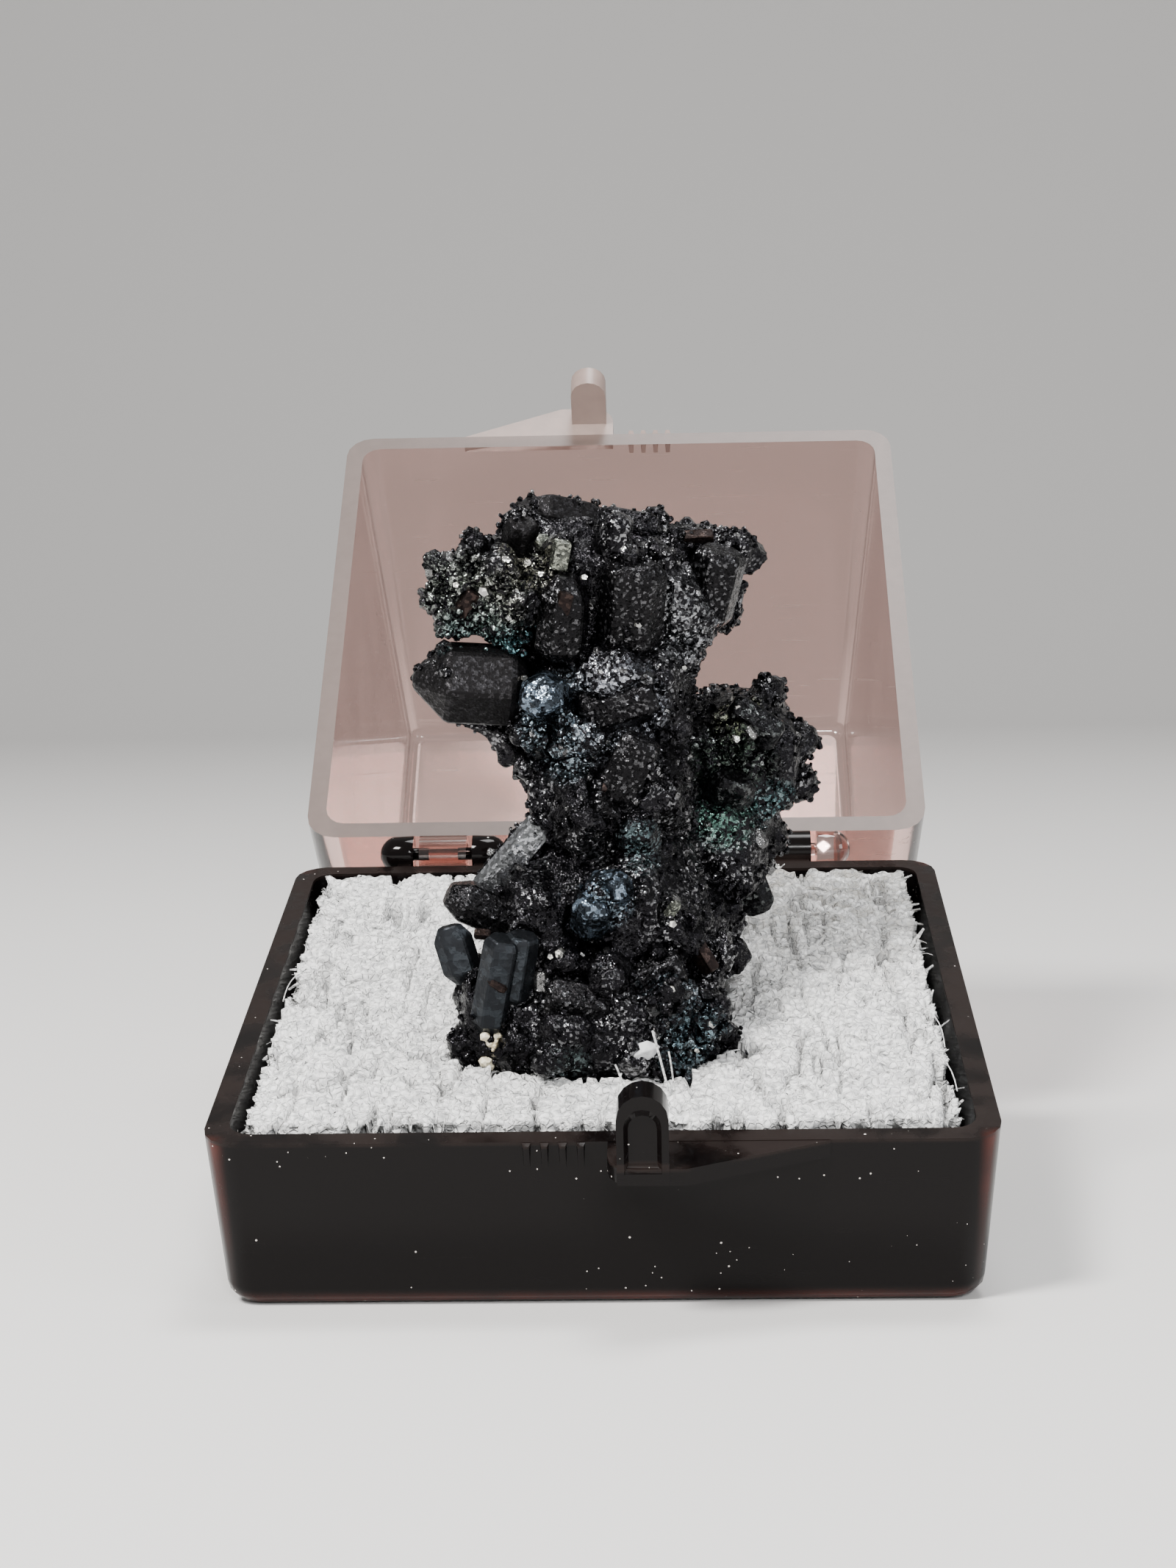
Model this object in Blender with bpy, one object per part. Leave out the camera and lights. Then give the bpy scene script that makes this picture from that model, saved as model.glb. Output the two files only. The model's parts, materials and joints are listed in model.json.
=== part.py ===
"""Gaudefroyite crystal cluster fixed in foam in a small hinged plastic box.

The box stands open. Its lid has swung back past upright, so the whole rests on
the front edge of the base and the rear edge of the lid. Metres, +Z up. The
origin is on the surface it rests on, under the middle of the whole.
"""
import math
import random

import bmesh
import bpy
from mathutils import Matrix, Vector

MM = 0.001
MERGE = 0.004 * MM

# Box: outside sizes at the rim
BOX_WIDTH = 32.0 * MM
BOX_DEPTH = 31.4 * MM
BASE_HEIGHT = 7.8 * MM
LID_HEIGHT = 24.6 * MM
BASE_DRAFT = 0.45 * MM
LID_DRAFT = 1.0 * MM
WALL = 0.95 * MM
CORNER_RADIUS = 1.5 * MM
EDGE_RADIUS = 1.1 * MM
INNER_RADIUS = 0.6 * MM
RIM_GAP = 0.3 * MM
CORNER_STEPS = 4
EDGE_STEPS = 4
SHARP_ANGLE = math.radians(32.0)

# How far a joined shape runs into the wall that carries it, and how far its faces
# stay back from the ones beside them
INTO = 0.4 * MM
BACK = 0.03 * MM

# Hinge: its axis runs along X behind the back wall, at the height of the rim
HINGE_BEHIND = 1.35 * MM
HINGE_ABOVE = 0.15 * MM
HINGE_SPACING = 8.75 * MM
LID_OPEN = math.radians(151.0)
KNUCKLE_RADIUS = 0.95 * MM
BARREL_HALF = 1.2 * MM
BORE_RADIUS = 0.62 * MM
PIN_RADIUS = 0.32 * MM
PIN_LENGTH = 0.75 * MM
SIDE_GAP = 0.3 * MM
LUG_WIDTH = 1.75 * MM
LUG_STEPS = 5
ARM_HIGH = -0.2 * MM
ARM_LOW = -1.4 * MM
ARM_INSET = 0.1 * MM
KNUCKLE_SIDES = 16

# Snap latch: a wedge ledge with an upright tab, one on each half
LEDGE_REACH = 2.4 * MM
LEDGE_THICK = 0.75 * MM
LEDGE_START = 0.3 * MM
LEDGE_FULL = 3.4 * MM
LEDGE_END = 9.1 * MM
TAB_CENTRE = 1.72 * MM
TAB_HALF = 1.02 * MM
TAB_CLEAR = 1.0 * MM
TAB_HEIGHT = 3.1 * MM
TAB_DISH = 0.25 * MM
TAB_DISH_EDGE = 0.72
TAB_DISH_FLOOR = 0.55
ROUND_STEPS = 4
RIB_CENTRE = -1.85 * MM
RIB_PITCH = 0.72 * MM
RIB_HALF = 0.24 * MM
RIB_LENGTH = 2.0 * MM
RIB_PROUD = 0.35 * MM
RIBS = 4

# Foam block, with a pit for the foot of the cluster
FOAM_WIDTH = 29.2 * MM
FOAM_DEPTH = 28.6 * MM
FOAM_DRAFT = 0.45 * MM
FOAM_TOP = 7.85 * MM
FOAM_GAP = 0.35 * MM
FOAM_RADIUS = 0.8 * MM
FOAM_BEVEL = 0.4 * MM
PIT_GAP = 0.35 * MM
PIT_SCALE = 1.05
PIT_TOP = 2.2 * MM

# Cluster: grown masses, in millimetres from the middle of the box at the height of its rim.
# Each row is a centre and three half sizes.
HEAD = [
    ((0.3, 1, 18.3), (5.4, 4.0, 3.2)),
    ((-3.9, 0, 18.2), (2.6, 3.0, 2.5)),
    ((3.9, 1.8, 18.0), (2.3, 3.3, 2.6)),
    ((-1.8, 0.9, 20.2), (2.2, 2.4, 1.9)),
]
NECK = [
    ((0, -0.6, 14.3), (4.2, 3.8, 3.2)),
    ((-2.9, -1.4, 13.7), (2.4, 2.6, 2.0)),
    ((0.4, -2, 10.1), (3.7, 4.0, 3.8)),
]
LOBE = [
    ((5.9, 2.4, 10.1), (2.9, 3.2, 3.0)),
    ((5.1, 0.8, 6.3), (2.5, 3.2, 3.4)),
    ((3.9, -1.6, 3.5), (1.9, 2.8, 2.6)),
]
FOOT = [
    ((0.4, -4, 5.3), (4.3, 4.2, 3.6)),
    ((-2.6, -4.6, 5.3), (2.5, 3.0, 2.8)),
    ((-0.4, -6.2, 1.3), (5.0, 4.0, 3.2)),
    ((3.3, -6.2, 1.0), (2.0, 2.8, 2.4)),
    ((-4.2, -6.2, 1.7), (2.0, 2.8, 2.8)),
]
LUMP_POINTS = 26
LUMP_BLOCKINESS = 3.2
MASSES = HEAD + NECK + LOBE + FOOT

# Cluster: the crystals that stand out, in millimetres. Each row is a centre, the
# direction of the long axis, the length, the width, and the thickness over the width.
HEAD_CRYSTALS = [
    ((-1.5, 0.6, 21.6), (1, 0.25, -0.22), 4.2, 2, 0.85),
    ((1.2, 0.8, 21.1), (1, -0.2, -0.15), 2.8, 1.6, 0.8),
    ((-3.5, -1.2, 21.4), (0.3, -0.4, 1), 2, 1.5, 0.9),
    ((-5, -1.6, 20.7), (-0.5, -0.5, 0.8), 1.9, 1.4, 0.9),
    ((-6.1, -1.6, 19.7), (-1, -0.2, 0.4), 2.2, 1.4, 0.9),
    ((-6.3, -1.8, 18.6), (-1, -0.1, 0), 2.2, 1.4, 1),
    ((-5.8, -2.2, 17.8), (-1, -0.5, -0.3), 2.2, 1.7, 0.8),
    ((-4, -3, 20.2), (-0.2, -1, 0.5), 2, 1.6, 0.9),
    ((-2.8, -3.2, 18.8), (0, -1, 0.2), 1.8, 1.6, 1),
    ((-1.5, -2.9, 20.7), (0.15, -0.5, 1), 1.9, 1.3, 1),
    ((-1.4, -3, 18.1), (0.1, -0.1, 1), 3.6, 2.2, 0.9),
    ((1.2, -2.5, 18.8), (0.1, -0.2, 1), 4.4, 3, 0.7),
    ((0.6, -2, 20.9), (0.4, -0.5, 0.9), 2.4, 1.7, 0.8),
    ((4.7, 1, 20.0), (1, 0.2, -0.1), 4.4, 2, 0.9),
    ((5.9, 1.6, 19.6), (0.8, 0.1, 0.3), 1.9, 1.6, 0.9),
    ((4.3, 0.6, 17.8), (0.3, -0.1, 1), 3.4, 2.8, 0.8),
    ((5.5, 1.8, 17.2), (0.2, 0.1, 1), 2.4, 1.6, 0.9),
    ((2.7, -1.4, 19.7), (-0.3, -0.4, 1), 2.6, 2, 0.8),
    ((3.6, 0.2, 16.1), (0.5, -0.5, -0.6), 2.2, 1.6, 0.9),
]
NECK_CRYSTALS = [
    ((-5.6, -2.7, 15.2), (1, 0.1, -0.12), 4.4, 3.2, 0.95),
    ((-3.9, -2.8, 16.0), (0.4, -0.6, 0.8), 2, 1.7, 0.9),
    ((-5.2, -2.2, 13.6), (0.9, 0, -0.5), 2.8, 1.7, 0.9),
    ((-4, -2.2, 12.4), (0.6, -0.2, -0.8), 2.4, 1.7, 0.9),
    ((-2.1, -3.8, 14.8), (-0.2, -0.8, 0.5), 2.4, 2.4, 0.9),
    ((0.2, -3.4, 16.2), (1, -0.3, 0.15), 2.8, 1.4, 0.7),
    ((2, -3, 14.1), (0.6, -0.6, -0.4), 2.6, 1.9, 0.8),
    ((3.3, -1.2, 15.5), (0.2, -0.3, 1), 2.6, 1.7, 0.8),
    ((4.9, 1.4, 14.2), (0.8, -0.2, 0.3), 2.2, 1.6, 0.9),
    ((-2.9, -3.2, 11.5), (-0.4, -0.6, 0.5), 2, 1.7, 0.9),
    ((0.5, -4.8, 11.2), (1, -0.3, -0.1), 3, 1.4, 0.6),
    ((-0.8, -4.4, 13.0), (0.2, -0.7, 0.6), 2.6, 2, 0.9),
]
LOBE_CRYSTALS = [
    ((7.1, 2.4, 12.6), (0.5, -0.2, 0.8), 2.6, 1.9, 0.9),
    ((8.2, 2.6, 10.5), (0.9, -0.1, 0.3), 2.8, 2.1, 0.9),
    ((8.3, 2.4, 8.9), (0.9, 0, -0.4), 2.6, 2, 0.9),
    ((5.8, 0, 11.8), (0.1, -0.6, 0.7), 3, 2.4, 0.7),
    ((5.4, -0.6, 9.0), (0.3, -0.5, 1), 3.2, 2.4, 0.6),
    ((7.2, 1.6, 7.1), (0.5, -0.1, -1), 3, 1.9, 0.8),
    ((6.2, 0.6, 5.1), (0.35, 0, -1), 3.8, 1.7, 0.5),
    ((5.2, -0.8, 3.9), (0.4, -0.1, -1), 2.8, 1.6, 0.8),
]
TRUNK_CRYSTALS = [
    ((-2.5, -4.4, 9.7), (-0.1, 0, 1), 3.2, 1.2, 0.6),
    ((-0.5, -5.8, 9.6), (0.3, -0.4, 0.9), 3, 2.2, 0.8),
    ((1.6, -5.4, 8.7), (-0.2, -0.4, 1), 3.4, 2.2, 0.7),
    ((-4, -4.6, 7.9), (0.66, 0.1, 0.75), 4.2, 1.5, 0.5),
    ((-4.9, -6, 6.1), (0.85, 0.1, -0.45), 3.8, 1.9, 0.95),
    ((-0.1, -7.4, 7.0), (0.4, -0.6, 0.6), 2.6, 2.2, 0.9),
    ((2.5, -6.4, 5.8), (0.2, -0.5, 0.9), 2.8, 2.1, 0.9),
]
FOOT_CRYSTALS = [
    ((-6.1, -7, 4.5), (-0.25, 0, 1), 2.6, 1.6, 0.5),
    ((-4.4, -8.4, 3.5), (0.2, -0.1, 1), 4.4, 1.5, 0.9),
    ((-3.5, -8.2, 4.3), (0.18, -0.1, 1), 3, 1.4, 0.9),
    ((-1.8, -8, 4.5), (0.8, -0.6, 0.3), 2.4, 1.7, 0.9),
    ((0.3, -8.6, 4.1), (0.2, -1, 0.3), 2.6, 2.3, 0.9),
    ((2.5, -8.8, 3.1), (0.4, -0.8, 0.5), 2.6, 2.1, 0.9),
    ((4.2, -7.8, 1.7), (0.5, -0.5, 0.6), 2.6, 2, 0.9),
    ((4.7, -5.6, 3.1), (0.4, -0.1, 1), 2.8, 1.7, 0.8),
    ((5.1, -6.6, 0.2), (0.1, -0.3, 1), 2, 1.5, 0.9),
    ((-1.2, -9.2, 2.0), (-0.3, -1, 0.3), 2.6, 2.3, 0.9),
    ((-3.7, -8.6, 0.9), (0.3, -0.4, 1), 2.4, 1.9, 0.9),
    ((-5.8, -7.2, 0.3), (-0.5, -0.2, 0.6), 2.2, 1.6, 0.9),
    ((1.2, -9.6, 1.0), (0.5, -0.7, 0.2), 2.4, 1.8, 0.9),
    ((-1.8, -9.6, 0.9), (-0.5, -0.7, 0.2), 2.4, 1.8, 0.9),
]
STANDING_CRYSTALS = HEAD_CRYSTALS + NECK_CRYSTALS + LOBE_CRYSTALS + TRUNK_CRYSTALS + FOOT_CRYSTALS
SPIN_STEP = 0.7
CRYSTAL_SIDES = 6
CRYSTAL_POINT = 0.3
CRYSTAL_TIP = 0.45

# Cluster: the smaller crystals that crust the masses above the foam
CRUST_PER_LUMP = 5
CRUST_WIDTH = (0.8, 1.7)
CRUST_STRETCH = (1.1, 1.9)
CRUST_THICK = (0.6, 1.0)
CRUST_DEPTH = 0.35
CRUST_SPREAD = 0.8
CRUST_FLOOR = 0.45
SEED = 41

# Finishes: colour, roughness, metallic, transmission
CRYSTAL_FINISH = ((0.035, 0.036, 0.040, 1.0), 0.30, 0.35, 0.0)
FOAM_FINISH = ((0.86, 0.86, 0.83, 1.0), 0.85, 0.0, 0.0)
BASE_FINISH = ((0.012, 0.010, 0.010, 1.0), 0.12, 0.0, 0.0)
LID_FINISH = ((0.90, 0.82, 0.80, 1.0), 0.10, 0.0, 0.95)


def clear_scene():
    for obj in list(bpy.data.objects):
        bpy.data.objects.remove(obj, do_unlink=True)


def material(name, finish):
    colour, roughness, metallic, transmission = finish
    made = bpy.data.materials.new(name)
    made.use_nodes = True
    shader = made.node_tree.nodes["Principled BSDF"]
    shader.inputs["Base Color"].default_value = colour
    shader.inputs["Roughness"].default_value = roughness
    shader.inputs["Metallic"].default_value = metallic
    shader.inputs["Transmission Weight"].default_value = transmission
    return made


def finish_object(name, mesh_source, made=None):
    """Turn a bmesh into a linked object whose faces point out."""
    bmesh.ops.recalc_face_normals(mesh_source, faces=mesh_source.faces)
    mesh = bpy.data.meshes.new(name)
    mesh_source.to_mesh(mesh)
    mesh_source.free()
    obj = bpy.data.objects.new(name, mesh)
    bpy.context.scene.collection.objects.link(obj)
    if made:
        mesh.materials.append(made)
    return obj


def rounded_outline(half_x, half_y, radius):
    """Points of a rectangle with round corners, counter-clockwise."""
    points = []
    for turn, (sx, sy) in enumerate(((1, 1), (-1, 1), (-1, -1), (1, -1))):
        centre = Vector((sx * (half_x - radius), sy * (half_y - radius)))
        for step in range(CORNER_STEPS + 1):
            angle = (turn + step / CORNER_STEPS) * math.pi / 2
            points.append(centre + radius * Vector((math.cos(angle), math.sin(angle))))
    return points


def loft(rings):
    """A closed body through a list of rings of points, its two ends capped."""
    body = bmesh.new()
    loops = [[body.verts.new(point) for point in ring] for ring in rings]
    for low, high in zip(loops, loops[1:]):
        for index in range(len(low)):
            after = (index + 1) % len(low)
            body.faces.new((low[index], low[after], high[after], high[index]))
    body.faces.new(list(reversed(loops[0])))
    body.faces.new(loops[-1])
    return body


def hull(points):
    """The convex body around a list of points."""
    body = bmesh.new()
    for point in points:
        body.verts.new(point)
    made = bmesh.ops.convex_hull(body, input=body.verts)
    inside = set(made["geom_interior"]) | set(made["geom_unused"])
    spare = [item for item in inside if isinstance(item, bmesh.types.BMVert)]
    bmesh.ops.delete(body, geom=spare, context="VERTS")
    return body


def boolean(target, others, operation):
    """Join or cut bodies into the target for good, and clean the result."""
    group = bpy.data.collections.new("operands")
    for other in others:
        group.objects.link(other)
    cut = target.modifiers.new("boolean", "BOOLEAN")
    cut.operation = operation
    cut.operand_type = "COLLECTION"
    cut.collection = group
    cut.solver = "EXACT"
    depsgraph = bpy.context.evaluated_depsgraph_get()
    result = bpy.data.meshes.new_from_object(target.evaluated_get(depsgraph))
    target.modifiers.remove(cut)
    target.data = result
    for other in others:
        bpy.data.objects.remove(other, do_unlink=True)
    bpy.data.collections.remove(group)
    clean(target)


def clean(obj):
    """Merge the points that a cut leaves next to each other."""
    body = bmesh.new()
    body.from_mesh(obj.data)
    bmesh.ops.remove_doubles(body, verts=body.verts, dist=MERGE)
    bmesh.ops.dissolve_degenerate(body, edges=body.edges, dist=MERGE)
    bmesh.ops.triangulate(body, faces=body.faces)
    body.to_mesh(obj.data)
    body.free()


def keep_outer(obj):
    """Leave only the biggest connected surface: closed pockets are filled."""
    body = bmesh.new()
    body.from_mesh(obj.data)
    islands = []
    left = set(body.verts)
    while left:
        found = {left.pop()}
        edge = set(found)
        while edge:
            edge = {link.other_vert(vert) for vert in edge for link in vert.link_edges} - found
            found |= edge
        left -= found
        islands.append(found)
    islands.sort(key=len)
    spare = [vert for island in islands[:-1] for vert in island]
    bmesh.ops.delete(body, geom=spare, context="VERTS")
    body.to_mesh(obj.data)
    body.free()


def tub(height, draft, top_down):
    """A thin-walled tray, rim up; the rim is at zero and the closed side at -height."""
    profile = []
    for step in range(EDGE_STEPS + 1):
        angle = step / EDGE_STEPS * math.pi / 2
        inset = draft + EDGE_RADIUS * (1 - math.sin(angle))
        profile.append((inset, EDGE_RADIUS * (1 - math.cos(angle)) - height))
    profile.append((0.0, 0.0))
    profile.append((WALL, 0.0))
    for step in range(EDGE_STEPS - 1, -1, -1):
        angle = step / (EDGE_STEPS - 1) * math.pi / 2
        profile.append((WALL + draft + INNER_RADIUS * (1 - math.sin(angle)),
                        WALL + INNER_RADIUS * (1 - math.cos(angle)) - height))
    rings = []
    for inset, z in profile:
        radius = max(CORNER_RADIUS - inset / 2, EDGE_RADIUS / 2)
        outline = rounded_outline(BOX_WIDTH / 2 - inset, BOX_DEPTH / 2 - inset, radius)
        rings.append([Vector((p.x, p.y, z)) for p in outline])
    body = loft(rings)
    if top_down:
        body.transform(Matrix.Rotation(math.pi, 4, "Y"))
    return body


def ledge():
    """Wedge in front of the rim, level with it, its left end round."""
    front = -BOX_DEPTH / 2
    outline = [(LEDGE_END, front + INTO), (LEDGE_END, front - BACK), (LEDGE_FULL, front - LEDGE_REACH)]
    radius = LEDGE_REACH / 2
    for step in range(ROUND_STEPS + 1):
        angle = (1 + step / ROUND_STEPS) * math.pi / 2
        x = LEDGE_START + radius + radius * math.cos(angle)
        outline.append((x, front - radius - radius * math.sin(angle)))
    outline.append((LEDGE_START, front + INTO))
    return loft([[Vector((x, y, z)) for x, y in outline] for z in (-LEDGE_THICK, -BACK)])


def tab():
    """Upright tongue on the ledge: round top, dished front face."""
    back = -BOX_DEPTH / 2 - TAB_CLEAR
    front = -BOX_DEPTH / 2 - LEDGE_REACH - BACK
    straight = TAB_HEIGHT - TAB_HALF
    outline = [(-TAB_HALF, BACK - LEDGE_THICK), (TAB_HALF, BACK - LEDGE_THICK)]
    for step in range(2 * ROUND_STEPS + 1):
        angle = step / ROUND_STEPS * math.pi / 2
        outline.append((TAB_HALF * math.cos(angle), straight + TAB_HALF * math.sin(angle)))
    middle = straight / 2

    def ring(y, scale):
        return [Vector((TAB_CENTRE + x * scale, y, middle + (z - middle) * scale)) for x, z in outline]

    return loft([ring(back, 1.0), ring(front, 1.0), ring(front, TAB_DISH_EDGE),
                 ring(front + TAB_DISH, TAB_DISH_FLOOR)])


def ribs():
    """Tapering grips on the front wall, where the other half's tab slides."""
    wall = -BOX_DEPTH / 2 + INTO
    proud = -BOX_DEPTH / 2 - RIB_PROUD
    made = []
    for index in range(RIBS):
        x = RIB_CENTRE + (index - (RIBS - 1) / 2) * RIB_PITCH
        points = []
        corners = ((RIB_HALF, wall, -BACK), (RIB_HALF / 2, proud, -BACK), (RIB_HALF / 2, wall, -RIB_LENGTH))
        for half, y, z in corners:
            points += [Vector((x - half, y, z)), Vector((x + half, y, z))]
        made.append(hull(points))
    return made


def turned(profile):
    """A body turned about the X axis through a list of (x, radius)."""
    rings = []
    for x, radius in profile:
        ring = []
        for side in range(KNUCKLE_SIDES):
            angle = side / KNUCKLE_SIDES * math.tau
            ring.append(Vector((x, radius * math.cos(angle), radius * math.sin(angle))))
        rings.append(ring)
    return loft(rings)


def block(low, high):
    """A box between two opposite corners."""
    ends = list(zip(low, high))
    return hull([Vector((x, y, z)) for x in ends[0] for y in ends[1] for z in ends[2]])


def lugs_and_barrel():
    """This half's hinge parts, placed about the axis: two round lugs with pins at
    the left, and a bored barrel at the right. The other half has them swapped."""
    wall = -HINGE_BEHIND - INTO
    near = BARREL_HALF + SIDE_GAP
    shoulder = near + LUG_WIDTH - KNUCKLE_RADIUS
    profile = [(near - PIN_LENGTH, PIN_RADIUS), (near, PIN_RADIUS), (near, KNUCKLE_RADIUS)]
    for step in range(1, LUG_STEPS):
        angle = step / LUG_STEPS * math.pi / 2
        profile.append((shoulder + KNUCKLE_RADIUS * math.sin(angle), KNUCKLE_RADIUS * math.cos(angle)))
    made = []
    for side in (-1, 1):
        made.append(turned([(-HINGE_SPACING + side * x, radius) for x, radius in profile]))
        ends = sorted((-HINGE_SPACING + side * (near + ARM_INSET), -HINGE_SPACING + side * shoulder))
        made.append(block((ends[0], wall, ARM_LOW), (ends[1], 0.0, ARM_HIGH)))
    left = HINGE_SPACING - BARREL_HALF
    right = HINGE_SPACING + BARREL_HALF
    barrel = turned([(left, BORE_RADIUS), (left, KNUCKLE_RADIUS),
                     (right, KNUCKLE_RADIUS), (right, BORE_RADIUS)])
    caps = [face for face in barrel.faces if len(face.verts) == KNUCKLE_SIDES]
    bmesh.ops.delete(barrel, geom=caps, context="FACES")
    bmesh.ops.bridge_loops(barrel, edges=[edge for edge in barrel.edges if edge.is_boundary])
    web = block((left + ARM_INSET, wall, ARM_LOW), (right - ARM_INSET, -BORE_RADIUS - ARM_INSET, ARM_HIGH))
    return made + [barrel, web]


def box_half(name, height, draft, is_lid, made):
    """Tray, latch and hinge parts joined into one body. Its origin is on the hinge
    axis for the lid, and at the middle of the underside for the base."""
    turn = Matrix.Rotation(math.pi, 4, "Y") if is_lid else Matrix()
    rim = BASE_HEIGHT + (RIM_GAP if is_lid else 0.0)
    to_rim = Matrix.Translation((0, 0, rim))
    to_axis = Matrix.Translation((0, BOX_DEPTH / 2 + HINGE_BEHIND, BASE_HEIGHT + HINGE_ABOVE))
    shell = tub(height, draft, is_lid)
    shell.transform(to_rim)
    parts = []
    for piece in [ledge(), tab()] + ribs():
        piece.transform(to_rim @ turn)
        parts.append(piece)
    for piece in lugs_and_barrel():
        piece.transform(to_axis @ turn)
        parts.append(piece)
    body = finish_object(name, shell, made)
    boolean(body, [finish_object("joined", piece) for piece in parts], "UNION")
    if is_lid:
        body.data.transform(to_axis.inverted())
    body.data.shade_smooth()
    body.data.set_sharp_from_angle(angle=SHARP_ANGLE)
    return body


def blocky(way, radii):
    """The point in the given direction on an ellipsoid that is part way to a box."""
    size = sum(abs(part) ** LUMP_BLOCKINESS for part in way) ** (1 / LUMP_BLOCKINESS)
    return Vector([radius * part / size for radius, part in zip(radii, way)])


def lump(centre, radii, rng):
    """An angular grown mass: the hull of points spread over a blocky ellipsoid."""
    points = []
    for _ in range(LUMP_POINTS):
        way = Vector((rng.gauss(0, 1), rng.gauss(0, 1), rng.gauss(0, 1)))
        points.append((Vector(centre) + blocky(way, radii)) * MM)
    return hull(points)


def crystal(centre, along, length, width, thick, spin):
    """A six-sided prism with a blunt point at each end."""
    shoulder = length / 2 - CRYSTAL_POINT * width
    rings = []
    for z, size in ((-length / 2, CRYSTAL_TIP), (-shoulder, 1.0), (shoulder, 1.0), (length / 2, CRYSTAL_TIP)):
        ring = []
        for side in range(CRYSTAL_SIDES):
            angle = side / CRYSTAL_SIDES * math.tau
            radius = size * width / 2
            ring.append(Vector((radius * math.cos(angle), radius * math.sin(angle) * thick, z)) * MM)
        rings.append(ring)
    body = loft(rings)
    turn = Vector(along).normalized().to_track_quat("Z", "Y").to_matrix().to_4x4()
    body.transform(Matrix.Translation(Vector(centre) * MM) @ turn @ Matrix.Rotation(spin, 4, "Z"))
    return body


def crust(centre, radii, rng):
    """Smaller crystals that stand out of one mass, above the foam."""
    made = []
    for _ in range(CRUST_PER_LUMP):
        normal = Vector((rng.gauss(0, 1), rng.gauss(0, 1), rng.gauss(0, 1))).normalized()
        place = Vector([centre[axis] + normal[axis] * (radii[axis] - CRUST_DEPTH) for axis in range(3)])
        jitter = Vector((rng.uniform(-1, 1), rng.uniform(-1, 1), rng.uniform(-1, 1))) * CRUST_SPREAD
        width = rng.uniform(*CRUST_WIDTH)
        length = width * rng.uniform(*CRUST_STRETCH)
        thick = rng.uniform(*CRUST_THICK)
        spin = rng.uniform(0, math.pi)
        if place.z - math.hypot(length, width) / 2 > CRUST_FLOOR:
            made.append(crystal(place, normal + jitter, length, width, thick, spin))
    return made


def cluster(made):
    """The grown masses and their crystals, joined into one body."""
    rng = random.Random(SEED)
    bodies = [lump(centre, radii, rng) for centre, radii in MASSES]
    for index, row in enumerate(STANDING_CRYSTALS):
        bodies.append(crystal(*row, index * SPIN_STEP))
    for centre, radii in MASSES:
        bodies += crust(centre, radii, rng)
    whole = finish_object("gaudefroyite_cluster", bodies[0], made)
    boolean(whole, [finish_object("grown", body) for body in bodies[1:]], "UNION")
    keep_outer(whole)
    whole.data.transform(Matrix.Translation((0, 0, BASE_HEIGHT)))
    return whole


def pit():
    """A cutter with room for the part of the cluster that is below the top of the foam."""
    room = PIT_GAP / MM
    points = []
    for centre, radii in FOOT:
        ball = bmesh.new()
        bmesh.ops.create_icosphere(ball, subdivisions=3, radius=1.0)
        wider = [radius * PIT_SCALE + room for radius in radii]
        points += [(Vector(centre) + blocky(vertex.co, wider)) * MM for vertex in ball.verts]
        ball.free()
    for index, (centre, along, length, width, thick) in enumerate(STANDING_CRYSTALS):
        if centre[2] - math.hypot(length, width) / 2 < room:
            wider = width + 2 * room
            thicker = (width * thick + 2 * room) / wider
            grown = crystal(centre, along, length + 2 * room, wider, thicker, index * SPIN_STEP)
            points += [vertex.co.copy() for vertex in grown.verts]
            grown.free()
    cutter = hull([point for point in points if point.z < PIT_TOP])
    cutter.transform(Matrix.Translation((0, 0, BASE_HEIGHT)))
    return cutter


def foam(made):
    """The foam insert, with a pit for the foot of the cluster."""
    bottom = WALL + FOAM_GAP
    rings = []
    for inset, z in ((FOAM_DRAFT + FOAM_BEVEL, bottom), (FOAM_DRAFT, bottom + FOAM_BEVEL),
                     (0.0, FOAM_TOP - FOAM_BEVEL), (FOAM_BEVEL, FOAM_TOP)):
        outline = rounded_outline(FOAM_WIDTH / 2 - inset, FOAM_DEPTH / 2 - inset, FOAM_RADIUS)
        rings.append([Vector((p.x, p.y, z)) for p in outline])
    body = finish_object("foam_block", loft(rings), made)
    boolean(body, [finish_object("pit", pit())], "DIFFERENCE")
    return body


def empty(name, location, turn, parent=None):
    """A guide that carries parts, turned about the X axis."""
    made = bpy.data.objects.new(name, None)
    bpy.context.scene.collection.objects.link(made)
    made.location = location
    made.rotation_euler.x = turn
    made.parent = parent
    return made


def lean():
    """How far the open box tips forward: its base and its lid touch the ground with
    equal round edges, so the line between the edges' centres lies level."""
    front = Vector((-BOX_DEPTH / 2 + BASE_DRAFT + EDGE_RADIUS, EDGE_RADIUS))
    rear = Vector((-HINGE_BEHIND - LID_DRAFT - EDGE_RADIUS, RIM_GAP - HINGE_ABOVE + LID_HEIGHT - EDGE_RADIUS))
    cosine, sine = math.cos(LID_OPEN), math.sin(LID_OPEN)
    opened = Vector((rear.x * cosine + rear.y * sine, -rear.x * sine + rear.y * cosine))
    opened += Vector((BOX_DEPTH / 2 + HINGE_BEHIND, BASE_HEIGHT + HINGE_ABOVE))
    return math.atan2(front.y - opened.y, opened.x - front.x)


def settle(frame, nodes):
    """Bring the whole down onto z = 0 and over the origin."""
    bpy.context.view_layer.update()
    points = [node.matrix_world @ vertex.co for node in nodes for vertex in node.data.vertices]
    for axis in range(2):
        values = [point[axis] for point in points]
        frame.location[axis] -= (min(values) + max(values)) / 2
    frame.location.z -= min(point.z for point in points)


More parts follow.
